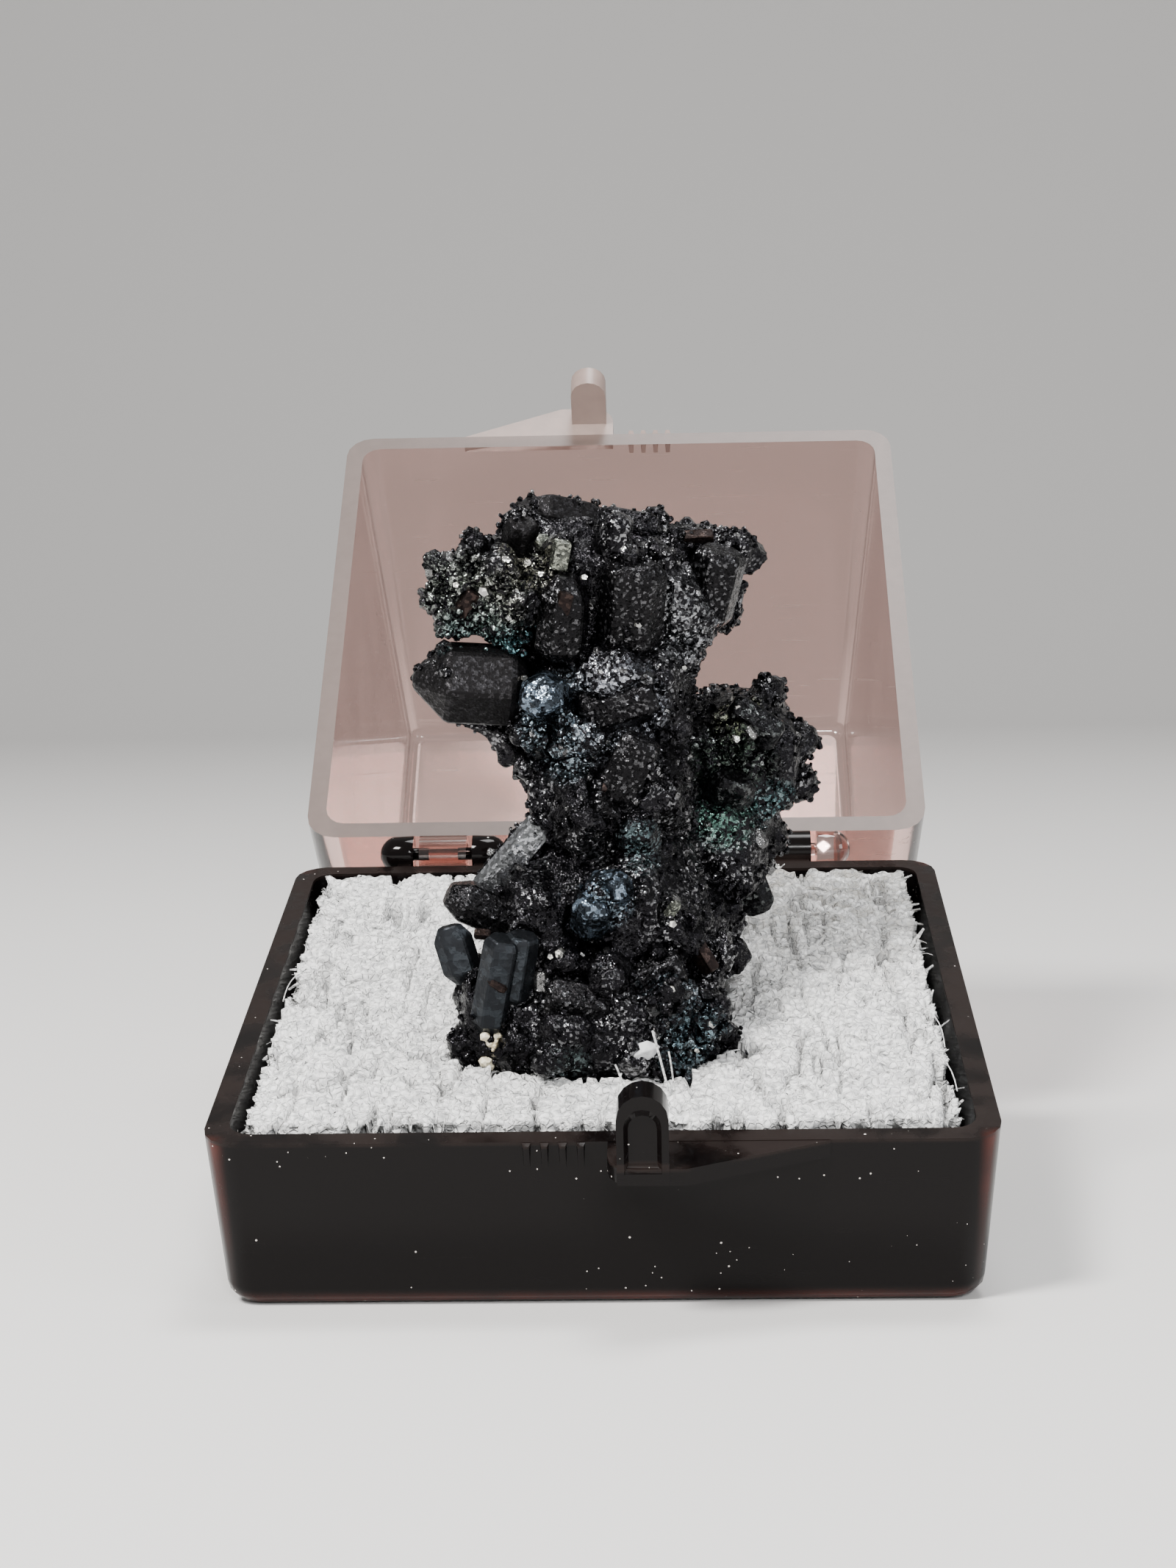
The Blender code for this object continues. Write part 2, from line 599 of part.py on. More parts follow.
def main():
    clear_scene()
    base = box_half("box_base", BASE_HEIGHT, BASE_DRAFT, False, material("black polystyrene", BASE_FINISH))
    lid = box_half("box_lid", LID_HEIGHT, LID_DRAFT, True, material("clear polystyrene", LID_FINISH))
    insert = foam(material("white foam", FOAM_FINISH))
    specimen = cluster(material("black crystal", CRYSTAL_FINISH))
    frame = empty("box_frame", (0, 0, 0), lean())
    axis_place = (0, BOX_DEPTH / 2 + HINGE_BEHIND, BASE_HEIGHT + HINGE_ABOVE)
    axis = empty("lid_axis", axis_place, -LID_OPEN, frame)
    for node in (base, insert, specimen):
        node.parent = frame
    lid.parent = axis
    settle(frame, [base, lid, insert, specimen])


main()
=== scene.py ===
"""Looks of a black gaudefroyite cluster fixed in foam in a small hinged plastic box.

Laid out as an add-on: each piece is made by its own operator, and the panel lists them.
Sizes are in metres in the frame's own axes. The box stands tipped, so its pieces are
modelled upright in the box's own axes and then laid into the frame.
"""
import json
import math
import random

import bpy
from mathutils import Matrix, Vector
from mathutils.bvhtree import BVHTree

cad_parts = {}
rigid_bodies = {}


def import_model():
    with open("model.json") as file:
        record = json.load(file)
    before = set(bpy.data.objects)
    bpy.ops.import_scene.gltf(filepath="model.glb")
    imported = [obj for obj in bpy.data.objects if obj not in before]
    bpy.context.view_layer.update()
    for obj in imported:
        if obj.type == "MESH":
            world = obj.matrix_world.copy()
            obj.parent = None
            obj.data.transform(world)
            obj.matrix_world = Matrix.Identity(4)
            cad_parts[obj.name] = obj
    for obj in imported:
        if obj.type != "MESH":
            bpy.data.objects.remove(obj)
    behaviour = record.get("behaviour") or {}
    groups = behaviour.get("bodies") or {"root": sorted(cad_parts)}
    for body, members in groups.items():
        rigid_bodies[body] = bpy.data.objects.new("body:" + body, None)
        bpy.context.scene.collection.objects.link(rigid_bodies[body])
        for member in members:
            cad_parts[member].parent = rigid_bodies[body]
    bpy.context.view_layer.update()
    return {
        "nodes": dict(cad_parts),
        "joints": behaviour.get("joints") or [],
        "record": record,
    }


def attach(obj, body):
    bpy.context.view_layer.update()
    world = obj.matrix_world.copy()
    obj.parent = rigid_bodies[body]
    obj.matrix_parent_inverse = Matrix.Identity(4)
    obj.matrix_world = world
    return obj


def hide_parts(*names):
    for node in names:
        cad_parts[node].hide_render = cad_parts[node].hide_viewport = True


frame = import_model()

bl_info = {
    "name": "Crystal Cluster in a Specimen Box",
    "version": (1, 0, 0),
    "blender": (4, 5, 0),
    "location": "3D View > Sidebar > Specimen",
    "description": "Builds the finishes of a boxed black crystal cluster",
    "category": "Object",
}

MM = 0.001
MOUNT = frame["record"]["mounts"][0]
LEAN = math.atan2(MOUNT["axis"][1], -MOUNT["axis"][2])
BOX = Matrix.Translation(MOUNT["pos_m"]) @ Matrix.Rotation(LEAN, 4, "X")
RIM = 7.8 * MM
LID_EDGE = 8.1 * MM
BASE_HALF = (16.0 * MM, 15.7 * MM)
FOAM_TOP = 7.85 * MM
FOAM_HALF = (14.6 * MM, 14.3 * MM)
FOAM_BOTTOM = 1.35 * MM

FOAM_MESH = 0.12 * MM  # width of one face of the foam's top
FOAM_INSET = 0.25 * MM  # gap between the foam and the tray's walls
PIT_DEPTH = 1.6 * MM
MERGE = 0.002 * MM  # points nearer than this are one
POLYSTYRENE_IOR = 1.59
BLOCK_SEED, COARSE_SEED, FINE_SEED, SLIVER_SEED = 41, 3, 17, 7

# Colours that are blended into the pieces' own
# Painted red-brown glow, as of light through the thin black plastic
PAINTED_GLOW_RED = (0.13, 0.024, 0.015, 1.0)
GRIME = (0.011, 0.007, 0.006, 1.0)
DUST = (0.62, 0.58, 0.54, 1.0)
LID_DUST = (0.95, 0.93, 0.9, 1.0)
# Painted beige-grey shade on the foam towards the right back
FOAM_PAINTED_SHADE = (0.42, 0.40, 0.365, 1.0)
FOAM_FILM = (0.40, 0.405, 0.41, 1.0)
MID_GREY = (0.26, 0.26, 0.26, 1.0)

# The photograph's camera, measured in the box's own axes
VIEW_PLACE = Vector((3.324, -112.336, 55.62)) * MM
VIEW_YAW = math.radians(-2.039)
VIEW_PITCH = math.radians(18.772)
VIEW_ROLL = math.radians(-1.460)
VIEW_LENS = 62.03
VIEW_SENSOR = 36.0

# The studio: each light's place, size, power and colour
LIGHTS = {
    "key": ((-0.13, -0.20, 0.25), 0.07, 1.9, (1.0, 0.98, 0.95)),
    "fill": ((0.30, -0.22, 0.12), 0.16, 0.45, (0.96, 0.98, 1.0)),
    "front": ((0.05, -0.36, 0.16), 0.05, 0.7, (1.0, 1.0, 1.0)),
    "top": ((0.05, 0.04, 0.42), 0.14, 1.3, (1.0, 1.0, 1.0)),
}
LIGHT_TARGET = Vector((0.0, -0.012, 0.018))
WORLD_COLOUR = (1.0, 0.99, 0.98, 1.0)
WORLD_STRENGTH = 0.45
FLOOR_SIZE = 1.2
FLOOR_SHIFT = -0.15
# The floor bends up behind in short steps, then goes on as a wall
BEND_STEPS, BEND_ANGLE, BEND_LENGTH = 8, math.radians(10), 0.05
WALL_RISE = (0.0, 0.02, 0.7)

# Crystals that stand clear of the crust, in millimetres from the middle of the box at its
# rim: centre, direction of the long axis, length, width, thickness over width, turn in
# degrees, sides, then for each end how far it tapers along the length and to what scale
STANDING = {
    "barrel_crystal": ("dull", [
        ((-5.5, -2.8, 15.15), (1, 0.12, -0.1), 4.8, 3.65, 0.95, 0, 6, (0.3, 0.2), (0.12, 0.6)),
    ]),
    "prism_pair": ("slate", [
        ((-4.45, -8.35, 3.55), (0.2, -0.1, 1), 4.7, 1.75, 0.85, 22, 6, (0.16, 0.42), (0.06, 0.8)),
        ((-3.5, -8.25, 4.35), (0.18, -0.1, 1), 3.2, 1.5, 0.85, 38, 6, (0.1, 0.6), (0.05, 0.85)),
    ]),
    "capsule_crystal": ("granular", [
        ((-4.75, -5.95, 6.0), (0.85, 0.1, -0.45), 4.0, 2.0, 0.95, 10, 6, (0.2, 0.55), (0.2, 0.5)),
    ]),
    "tabular_crystal": ("slate", [
        ((-6.1, -7.05, 4.5), (-0.25, 0, 1), 2.7, 1.75, 0.5, 25, 6, (0.22, 0.5), (0.22, 0.6)),
    ]),
    "silver_blade": ("silver", [
        ((-3.95, -4.85, 7.85), (0.66, 0.1, 0.75), 4.3, 1.5, 0.5, 30, 4, (0.02, 0.9), (0.02, 0.9)),
    ]),
    "dome_crystal": ("granular", [
        ((-1.45, -3.2, 18.1), (0.1, -0.1, 1), 3.8, 2.3, 0.85, 12, 6, (0.12, 0.6), (0.28, 0.42)),
    ]),
    "crest_crystals": ("dull", [
        ((-1.4, 0.55, 21.4), (1, 0.25, -0.3), 4.5, 2.1, 0.85, 15, 6, (0.3, 0.35), (0.3, 0.45)),
        ((-3.3, -1.3, 21.0), (0.35, -0.4, 1), 2.0, 1.5, 0.9, 28, 6, (0.1, 0.8), (0.1, 0.75)),
    ]),
    "dark_slab": ("granular", [
        ((1.45, -2.75, 18.4), (0.1, -0.2, 1), 4.1, 2.9, 0.7, 30, 6, (0.08, 0.8), (0.12, 0.7)),
        ((4.9, -0.35, 18.6), (0.25, -0.15, 1), 3.4, 2.4, 0.8, 20, 6, (0.1, 0.8), (0.1, 0.8)),
    ]),
    "trunk_blocks": ("granular", [
        ((-0.6, -5.6, 9.9), (0.7, -0.3, 0.6), 3.0, 1.7, 0.8, 20, 4, (0.05, 0.9), (0.08, 0.8)),
        ((1.9, -7.9, 3.6), (1, 0.1, 0.35), 3.2, 1.9, 0.8, 40, 6, (0.1, 0.7), (0.1, 0.8)),
        ((-0.9, -8.8, 2.9), (1, 0, -0.2), 3.0, 2.2, 0.8, 20, 6, (0.1, 0.75), (0.14, 0.6)),
        ((1.2, -5.2, 12.0), (0.5, 0, 1), 3.1, 2.0, 0.8, 10, 6, (0.1, 0.8), (0.1, 0.75)),
        ((0.8, -3.4, 14.3), (1, 0, 0.3), 3.4, 2.3, 0.8, 30, 6, (0.1, 0.8), (0.1, 0.75)),
    ]),
    "lobe_blades": ("glossy", [
        ((6.2, 0.4, 5.1), (0.35, 0, -1), 3.9, 1.8, 0.5, 20, 6, (0.1, 0.7), (0.1, 0.6)),
        ((5.35, -0.65, 9.0), (0.3, -0.5, 1), 3.1, 2.3, 0.6, 30, 6, (0.12, 0.7), (0.12, 0.7)),
        ((6.6, -0.3, 12.4), (0.8, -0.2, -0.5), 2.6, 1.8, 0.8, 10, 6, (0.12, 0.7), (0.12, 0.7)),
    ]),
    "blue_lumps": ("blue", [
        ((-0.35, -7.55, 6.4), (0.1, -0.5, 1), 2.3, 1.9, 0.95, 20, 6, (0.2, 0.55), (0.2, 0.6)),
        ((0.35, -7.35, 7.5), (1, -0.4, 0.2), 1.9, 1.7, 0.95, 40, 6, (0.2, 0.55), (0.2, 0.6)),
        ((-2.2, -4.05, 14.85), (-0.2, -0.8, 0.5), 2.3, 2.3, 0.9, 25, 6, (0.2, 0.6), (0.2, 0.6)),
    ]),
    "brown_facets": ("brown", [
        ((-1.35, -4.05, 18.9), (0.3, -0.2, 1), 1.0, 0.8, 0.5, 30, 4, (0.04, 0.9), (0.04, 0.9)),
        ((-5.55, -2.5, 18.55), (0.7, -0.1, 1), 1.3, 0.8, 0.6, 30, 4, (0.04, 0.9), (0.04, 0.9)),
        ((4.3, 0.45, 20.45), (1, 0.2, 0), 1.3, 0.9, 0.6, 20, 4, (0.06, 0.8), (0.06, 0.8)),
        ((0.5, -5.5, 11.3), (1, 0.1, 0.15), 1.3, 0.7, 0.8, 10, 6, (0.15, 0.6), (0.15, 0.6)),
        ((-4.35, -8.95, 3.9), (0.8, 0, -0.6), 0.9, 0.5, 0.8, 30, 6, (0.2, 0.5), (0.2, 0.6)),
        ((-5.0, -7.4, 5.55), (1, 0, -0.1), 0.7, 0.5, 0.9, 10, 4, (0.1, 0.7), (0.1, 0.8)),
        ((4.2, -6.3, 4.0), (0.6, -0.3, -1), 1.6, 0.9, 0.6, 10, 4, (0.06, 0.8), (0.06, 0.8)),
        ((2.0, -6.5, 6.6), (0.3, -0.3, 1), 0.9, 0.7, 0.8, 10, 6, (0.2, 0.5), (0.2, 0.6)),
    ]),
    "pale_facets": ("pale", [
        ((-1.45, -3.55, 20.85), (0.2, -0.3, 1), 1.35, 0.95, 0.5, 30, 4, (0.04, 0.9), (0.04, 0.9)),
        ((-2.3, -1.75, 20.95), (0.4, -1, 0.6), 0.7, 0.7, 1.0, 0, 6, (0.1, 0.7), (0.1, 0.7)),
        ((2.95, -7.6, 6.6), (0.6, -0.4, 1), 1.1, 0.5, 0.8, 10, 4, (0.2, 0.5), (0.2, 0.6)),
    ]),
}

# Grains painted bright silver as glints, at the crystal's surface in the same millimetres, with width
GLINTS = [
    ((-1.7, -8.7, 5.2), 0.5), ((-2.1, -8.8, 5.1), 0.3), ((2.9, -9.8, 4.0), 0.45),
    ((4.5, -8.9, 2.0), 0.5), ((3.0, -7.6, 6.0), 0.4), ((-3.7, -3.6, 20.7), 0.55),
    ((-2.9, -2.0, 20.2), 0.45), ((1.1, -3.1, 21.0), 0.45), ((-4.7, -2.9, 19.2), 0.6),
    ((5.8, 1.6, 12.9), 0.4), ((5.9, -0.6, 13.2), 0.35), ((5.8, -1.3, 12.0), 0.4),
    ((1.7, -3.6, 17.8), 0.35), ((3.6, -2.8, 15.7), 0.3), ((-3.1, -3.7, 15.6), 0.35),
    ((-5.9, -2.6, 19.4), 0.35), ((-6.6, -2.1, 18.8), 0.3), ((-3.7, -3.6, 18.2), 0.3),
    ((3.9, -9.1, 0.9), 0.3), ((0.1, -4.3, 16.0), 0.3), ((7.6, 0.1, 5.6), 0.35),
    ((-2.3, -3.4, 20.0), 0.3), ((-0.5, -3.6, 19.9), 0.35), ((2.3, -9.9, 1.9), 0.3),
]

# Where tarnish colours the crust: centre and radius in the same millimetres, colour, strength
TARNISH = [
    ((-6.0, -2.4, 19.0), 2.2, (0.42, 0.46, 0.42), 0.75),
    ((-4.4, -3.0, 18.9), 2.0, (0.50, 0.52, 0.46), 0.7),
    ((-2.7, -2.6, 20.4), 1.8, (0.46, 0.46, 0.36), 0.7),
    ((-5.2, -2.8, 17.3), 1.8, (0.20, 0.34, 0.34), 0.85),
    ((-3.2, -3.5, 16.5), 1.6, (0.16, 0.34, 0.38), 0.9),
    ((-2.2, -4.6, 15.0), 2.0, (0.34, 0.44, 0.52), 1.0),
    ((-1.6, -4.7, 13.2), 2.0, (0.30, 0.38, 0.43), 0.95),
    ((0.7, -4.4, 14.2), 2.8, (0.36, 0.38, 0.43), 0.85),
    ((-0.3, -3.6, 19.4), 1.0, (0.22, 0.36, 0.32), 0.7),
    ((0.2, -4.2, 17.6), 0.9, (0.26, 0.34, 0.34), 0.6),
    ((3.4, -1.8, 17.4), 2.6, (0.36, 0.37, 0.39), 0.75),
    ((5.6, -1.3, 11.0), 2.6, (0.09, 0.14, 0.10), 0.5),
    ((5.4, -1.6, 8.7), 1.9, (0.13, 0.27, 0.22), 0.8),
    ((7.6, -0.4, 8.5), 1.5, (0.13, 0.25, 0.26), 0.65),
    ((5.9, 0.0, 12.7), 1.5, (0.36, 0.38, 0.22), 0.6),
    ((0.1, -8.0, 7.2), 1.4, (0.34, 0.44, 0.52), 0.9),
    ((2.6, -8.4, 3.0), 1.6, (0.20, 0.28, 0.32), 0.8),
    ((3.7, -9.0, 1.4), 1.9, (0.19, 0.28, 0.32), 0.8),
    ((-1.6, -9.6, 0.8), 1.3, (0.20, 0.28, 0.28), 0.6),
    ((1.7, -6.4, 9.0), 1.3, (0.22, 0.32, 0.34), 0.6),
]

# Where the druse is coarse: centre and radius in the same millimetres
DRUSE = [
    ((-5.6, -2.3, 18.8), 2.6), ((-3.6, -3.0, 18.2), 2.2), ((-4.4, -2.9, 16.9), 1.7),
    ((-3.2, -1.8, 20.4), 1.4), ((-2.2, -4.6, 14.6), 1.8), ((-2.0, -4.4, 12.9), 1.4),
    ((3.4, -9.0, 1.6), 2.4), ((2.6, -8.6, 3.3), 1.4), ((6.4, -0.5, 12.6), 1.8),
    ((-4.9, -8.5, 0.6), 1.2),
]


# Loose threads in millimetres from the middle of the box at its rim: start, middle, end, width
THREADS = [
    ((2.75, -11.5, 0.0), (2.45, -11.2, 1.3), (2.1, -11.1, 2.7), 0.10),
    ((2.95, -11.6, 0.1), (2.9, -11.4, 1.0), (2.75, -11.4, 1.9), 0.07),
    ((1.0, -11.6, 0.0), (0.85, -11.4, 0.6), (0.55, -11.3, 1.3), 0.09),
    ((0.6, -11.7, 0.0), (0.65, -11.5, 0.5), (0.8, -11.5, 1.0), 0.06),
    ((12.9, -8.0, 0.3), (14.4, -9.2, 1.0), (14.5, -11.6, 0.1), 0.05),
    ((13.4, -3.2, 0.3), (14.5, -5.0, 0.8), (14.4, -7.4, 0.15), 0.05),
    ((-13.6, 1.5, 0.2), (-14.4, 0.3, 0.8), (-14.5, -1.6, 0.1), 0.05),
    ((-13.6, -4.0, 0.2), (-14.4, -5.5, 0.7), (-14.2, -7.4, 0.2), 0.06),
]


def alone(obj):
    """Select one object and nothing else."""
    bpy.ops.object.select_all(action="DESELECT")
    obj.select_set(True)
    bpy.context.view_layer.objects.active = obj


def edit(obj, mode="FACE"):
    """Open one object in edit mode with nothing selected."""
    alone(obj)
    bpy.ops.object.mode_set(mode="EDIT")
    bpy.ops.mesh.select_mode(type=mode)
    bpy.ops.mesh.select_all(action="DESELECT")
    bpy.ops.object.mode_set(mode="OBJECT")


def edit_all(obj, mode="FACE"):
    """Open one object in edit mode with everything selected."""
    edit(obj, mode)
    bpy.ops.object.mode_set(mode="EDIT")
    bpy.ops.mesh.select_all(action="SELECT")


def from_rim(spot):
    """A place that was given in millimetres from the middle of the box at its rim."""
    return Vector(spot) * MM + Vector((0, 0, RIM))


def pick(items, test):
    """Select the faces or points that pass a test, then go back to edit mode."""
    for item in items:
        item.select = test(item)
    bpy.ops.object.mode_set(mode="EDIT")


def apply_modifiers(obj):
    alone(obj)
    for modifier in list(obj.modifiers):
        bpy.ops.object.modifier_apply(modifier=modifier.name)


def own_copy(node, name):
    """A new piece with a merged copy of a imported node's mesh."""
    piece = bpy.data.objects.new(name, frame["nodes"][node].data.copy())
    bpy.context.scene.collection.objects.link(piece)
    piece.data.materials.clear()
    edit_all(piece, "VERT")
    bpy.ops.mesh.remove_doubles(threshold=MERGE)
    bpy.ops.mesh.customdata_custom_splitnormals_clear()
    bpy.ops.object.mode_set(mode="OBJECT")
    return piece


def upright_cluster(name):
    """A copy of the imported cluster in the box's own axes."""
    piece = own_copy("gaudefroyite_cluster", name)
    piece.data.transform(BOX.inverted())
    return piece


def settle(piece):
    """Lay a piece that was modelled upright into the frame, its object at the origin."""
    piece.data.transform(BOX @ piece.matrix_world)
    piece.parent = None
    piece.matrix_world = Matrix.Identity(4)


def finish_piece(piece, material, body, slot, *nodes):
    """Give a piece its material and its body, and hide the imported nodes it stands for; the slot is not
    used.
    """
    piece.data.materials.clear()
    piece.data.materials.append(material)
    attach(piece, body)
    if nodes:
        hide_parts(*nodes)


def set_down(pieces, name, material, slot):
    """Join pieces that were modelled upright into one, and finish it on the base's body."""
    piece = join(pieces, name)
    settle(piece)
    finish_piece(piece, material, "base", slot)


def new_material(name):
    """A material with its node tree and its Principled shader."""
    made = bpy.data.materials.new(name)
    made.use_nodes = True
    return made, made.node_tree, made.node_tree.nodes["Principled BSDF"]


def fill(tree, target, inputs):
    """Link or set some of a node's inputs."""
    for key, value in inputs.items():
        if isinstance(value, bpy.types.NodeSocket):
            tree.links.new(value, target.inputs[key])
        else:
            target.inputs[key].default_value = value


def node(tree, kind, inputs=None, **settings):
    """Add a node, set its properties, and fill or link its inputs."""
    made = tree.nodes.new(kind)
    for key, value in settings.items():
        setattr(made, key, value)
    fill(tree, made, inputs or {})
    return made


def math_node(tree, operation, *values):
    """A Math node's value; each operand is a number or a socket."""
    return node(tree, "ShaderNodeMath", dict(enumerate(values)), operation=operation).outputs[0]


def vector_math(tree, operation, first, second, output=0):
    """A Vector Math node's result; to scale a vector, the second operand is a number."""
    other = "Scale" if operation == "SCALE" else 1
    return node(tree, "ShaderNodeVectorMath", {0: first, other: second}, operation=operation).outputs[output]


def noise(tree, place, scale, detail):
    """A noise texture's value."""
    inputs = {"Vector": place, "Scale": scale, "Detail": detail}
    return node(tree, "ShaderNodeTexNoise", inputs).outputs["Fac"]


def voronoi(tree, place, scale, **settings):
    """A Voronoi texture's outputs."""
    return node(tree, "ShaderNodeTexVoronoi", {"Vector": place, "Scale": scale}, **settings).outputs


def split_axes(tree, vector):
    """The X, Y and Z of a vector."""
    return node(tree, "ShaderNodeSeparateXYZ", {"Vector": vector}).outputs


def bump(tree, height, strength, distance, **others):
    """A normal that a height disturbs."""
    inputs = {"Height": height, "Strength": strength, "Distance": distance, **others}
    return node(tree, "ShaderNodeBump", inputs).outputs[0]


def object_place(tree):
    return node(tree, "ShaderNodeTexCoord").outputs["Object"]


def shared_group(tree, name, maker, place, values):
    """A shared node group at a place, with its own values."""
    group = bpy.data.node_groups.get(name) or maker(name)
    return node(tree, "ShaderNodeGroup", {"Vector": place, **values}, node_tree=group).outputs


def remap(tree, value, low, high, to_low=0.0, to_high=1.0):
    """Map a value smoothly from one range to another."""
    inputs = {"Value": value, "From Min": low, "From Max": high, "To Min": to_low, "To Max": to_high}
    return node(tree, "ShaderNodeMapRange", inputs, interpolation_type="SMOOTHSTEP").outputs["Result"]


def blend_colours(tree, factor, first, second):
    """Mix two colours by a factor."""
    return node(tree, "ShaderNodeMix", {0: factor, 6: first, 7: second}, data_type="RGBA").outputs[2]


def box_coordinates(tree):
    """Object coordinates turned into the box's own upright axes."""
    back = BOX.inverted()
    inputs = {"Vector": object_place(tree), "Location": back.translation, "Rotation": back.to_euler()}
    return node(tree, "ShaderNodeMapping", inputs, vector_type="POINT").outputs["Vector"]


def new_group(name, values, **results):
    """A shader node group that takes a vector and some values and gives its results."""
    group = bpy.data.node_groups.new(name, "ShaderNodeTree")
    face = group.interface
    face.new_socket(name="Vector", in_out="INPUT", socket_type="NodeSocketVector")
    for key, default in values.items():
        face.new_socket(name=key, in_out="INPUT", socket_type="NodeSocketFloat").default_value = default
    for key, kind in results.items():
        face.new_socket(name=key, in_out="OUTPUT", socket_type="NodeSocket" + kind)
    return group, node(group, "NodeGroupInput").outputs


def dust_group(name):
    """Group: sparse pale specks and fine scratches on a glossy surface."""
    values = {"Speck Spacing": 1.0 * MM, "Speck Size": 0.06, "Speck Share": 0.3, "Scratch": 0.2}
    group, start = new_group(name, values, Specks="Float", Scratches="Float")
    scale = math_node(group, "DIVIDE", 1.0, start["Speck Spacing"])
    cells = voronoi(group, start["Vector"], scale)
    split = node(group, "ShaderNodeSeparateColor", {"Color": cells["Color"]}).outputs
    size = math_node(group, "MULTIPLY", start["Speck Size"], split["Green"])
    near = math_node(group, "LESS_THAN", cells["Distance"], size)
    chosen = math_node(group, "LESS_THAN", split["Red"], start["Speck Share"])
    specks = math_node(group, "MULTIPLY", near, chosen)
    streaks = node(group, "ShaderNodeMapping", {"Vector": start["Vector"], "Rotation": (0.3, 0.2, 0.5),
                                                "Scale": (60.0, 1500.0, 900.0)})
    lines = remap(group, noise(group, streaks.outputs[0], 3.0, 4.0), 0.62, 0.72)
    scratches = math_node(group, "MULTIPLY", lines, start["Scratch"])
    node(group, "NodeGroupOutput", {"Specks": specks, "Scratches": scratches})
    return group


def facet_group(name):
    """Group: a skin of tiny crystal faces, as tilted normals, a height and a chance per face."""
    group, start = new_group(name, {"Facet Size": 0.22 * MM, "Tilt": 0.5},
                             Normal="Vector", Height="Float", Chance="Float")
    scale = math_node(group, "DIVIDE", 1.0, start["Facet Size"])
    broad = voronoi(group, start["Vector"], scale, distance="CHEBYCHEV")
    fine = voronoi(group, start["Vector"], math_node(group, "MULTIPLY", scale, 2.1), distance="CHEBYCHEV")
    tilts = vector_math(group, "ADD", broad["Color"], fine["Color"])
    centred = vector_math(group, "SUBTRACT", tilts, (1.0, 1.0, 1.0))
    pushed = vector_math(group, "SCALE", centred, start["Tilt"])
    leaning = vector_math(group, "ADD", node(group, "ShaderNodeNewGeometry").outputs["Normal"], pushed)
    result = node(group, "ShaderNodeVectorMath", {0: leaning}, operation="NORMALIZE")
    height = math_node(group, "MULTIPLY_ADD", fine["Distance"], 0.5, broad["Distance"])
    chance = node(group, "ShaderNodeSeparateColor", {"Color": broad["Color"]}).outputs["Red"]
    node(group, "NodeGroupOutput", {"Normal": result.outputs[0], "Height": height, "Chance": chance})
    return group


def black_plastic(colour):
    """Glossy black polystyrene with dust and scratches, and a painted red-brown glow at its thin edges."""
    made, tree, shader = new_material("black polystyrene")
    place = box_coordinates(tree)
    split = split_axes(tree, place)
    # Painted glow: red-brown light through the thin plastic, at the corners and along the foot of the walls
    side, front = (remap(tree, math_node(tree, "ABSOLUTE", split[axis]), half - 1.1 * MM, half - 0.15 * MM)
                   for axis, half in zip("XY", BASE_HALF))
    low = remap(tree, split["Z"], 1.0 * MM, 0.1 * MM)
    corner = math_node(tree, "MULTIPLY", side, front)
    wall = math_node(tree, "MAXIMUM", side, front)
    glow = math_node(tree, "MAXIMUM", corner, math_node(tree, "MULTIPLY", low, wall))
    uneven = remap(tree, noise(tree, place, 260.0, 3.0), 0.25, 0.7, 0.35, 1.0)
    glow = math_node(tree, "MULTIPLY", glow, uneven)
    dusty = shared_group(tree, "Dust and scratches", dust_group, place,
                         {"Speck Spacing": 0.95 * MM, "Speck Size": 0.06, "Speck Share": 0.4})
    fine = shared_group(tree, "Dust and scratches", dust_group, place,
                        {"Speck Spacing": 0.38 * MM, "Speck Size": 0.10, "Speck Share": 0.5})
    settled = noise(tree, place, 1 / (7.0 * MM), 1.0)
    fallen = math_node(tree, "MULTIPLY", fine["Specks"], math_node(tree, "GREATER_THAN", settled, 0.47))
    specks = math_node(tree, "MAXIMUM", dusty["Specks"], fallen)
    body = blend_colours(tree, glow, (*colour, 1.0), PAINTED_GLOW_RED)
    top = math_node(tree, "MULTIPLY", remap(tree, split["Z"], RIM - 0.22 * MM, RIM - 0.06 * MM),
                    remap(tree, split["Z"], RIM + 0.3 * MM, RIM + 0.1 * MM))
    smears = noise(tree, place, 420.0, 5.0)
    grime = math_node(tree, "MULTIPLY", top, remap(tree, smears, 0.3, 0.62))
    body = blend_colours(tree, grime, body, GRIME)
    rough = math_node(tree, "ADD", remap(tree, smears, 0.35, 0.75, 0.07, 0.2), dusty["Scratches"])
    rough = math_node(tree, "MAXIMUM", rough, math_node(tree, "MULTIPLY", specks, 0.8))
    rough = math_node(tree, "MAXIMUM", rough, math_node(tree, "MULTIPLY", grime, 0.5))
    fill(tree, shader, {"Base Color": blend_colours(tree, specks, body, DUST), "Roughness": rough,
                        "Normal": bump(tree, dusty["Scratches"], 0.25, 0.02 * MM),
                        "IOR": POLYSTYRENE_IOR, "Specular IOR Level": 0.10})
    return made


def frosted_plastic(name, colour):
    """Matt clear plastic, where the light comes out of the wall."""
    made, tree, shader = new_material(name)
    place = object_place(tree)
    cloudy = remap(tree, noise(tree, place, 1 / (0.8 * MM), 4.0), 0.3, 0.7)
    lighter = tuple(min(1.0, 1.12 * value) for value in colour)
    fill(tree, shader, {"Base Color": blend_colours(tree, cloudy, (*colour, 1.0), (*lighter, 1.0)),
                        "Roughness": 0.42, "Specular IOR Level": 0.35, "Transmission Weight": 0.5,
                        "IOR": POLYSTYRENE_IOR})
    return made


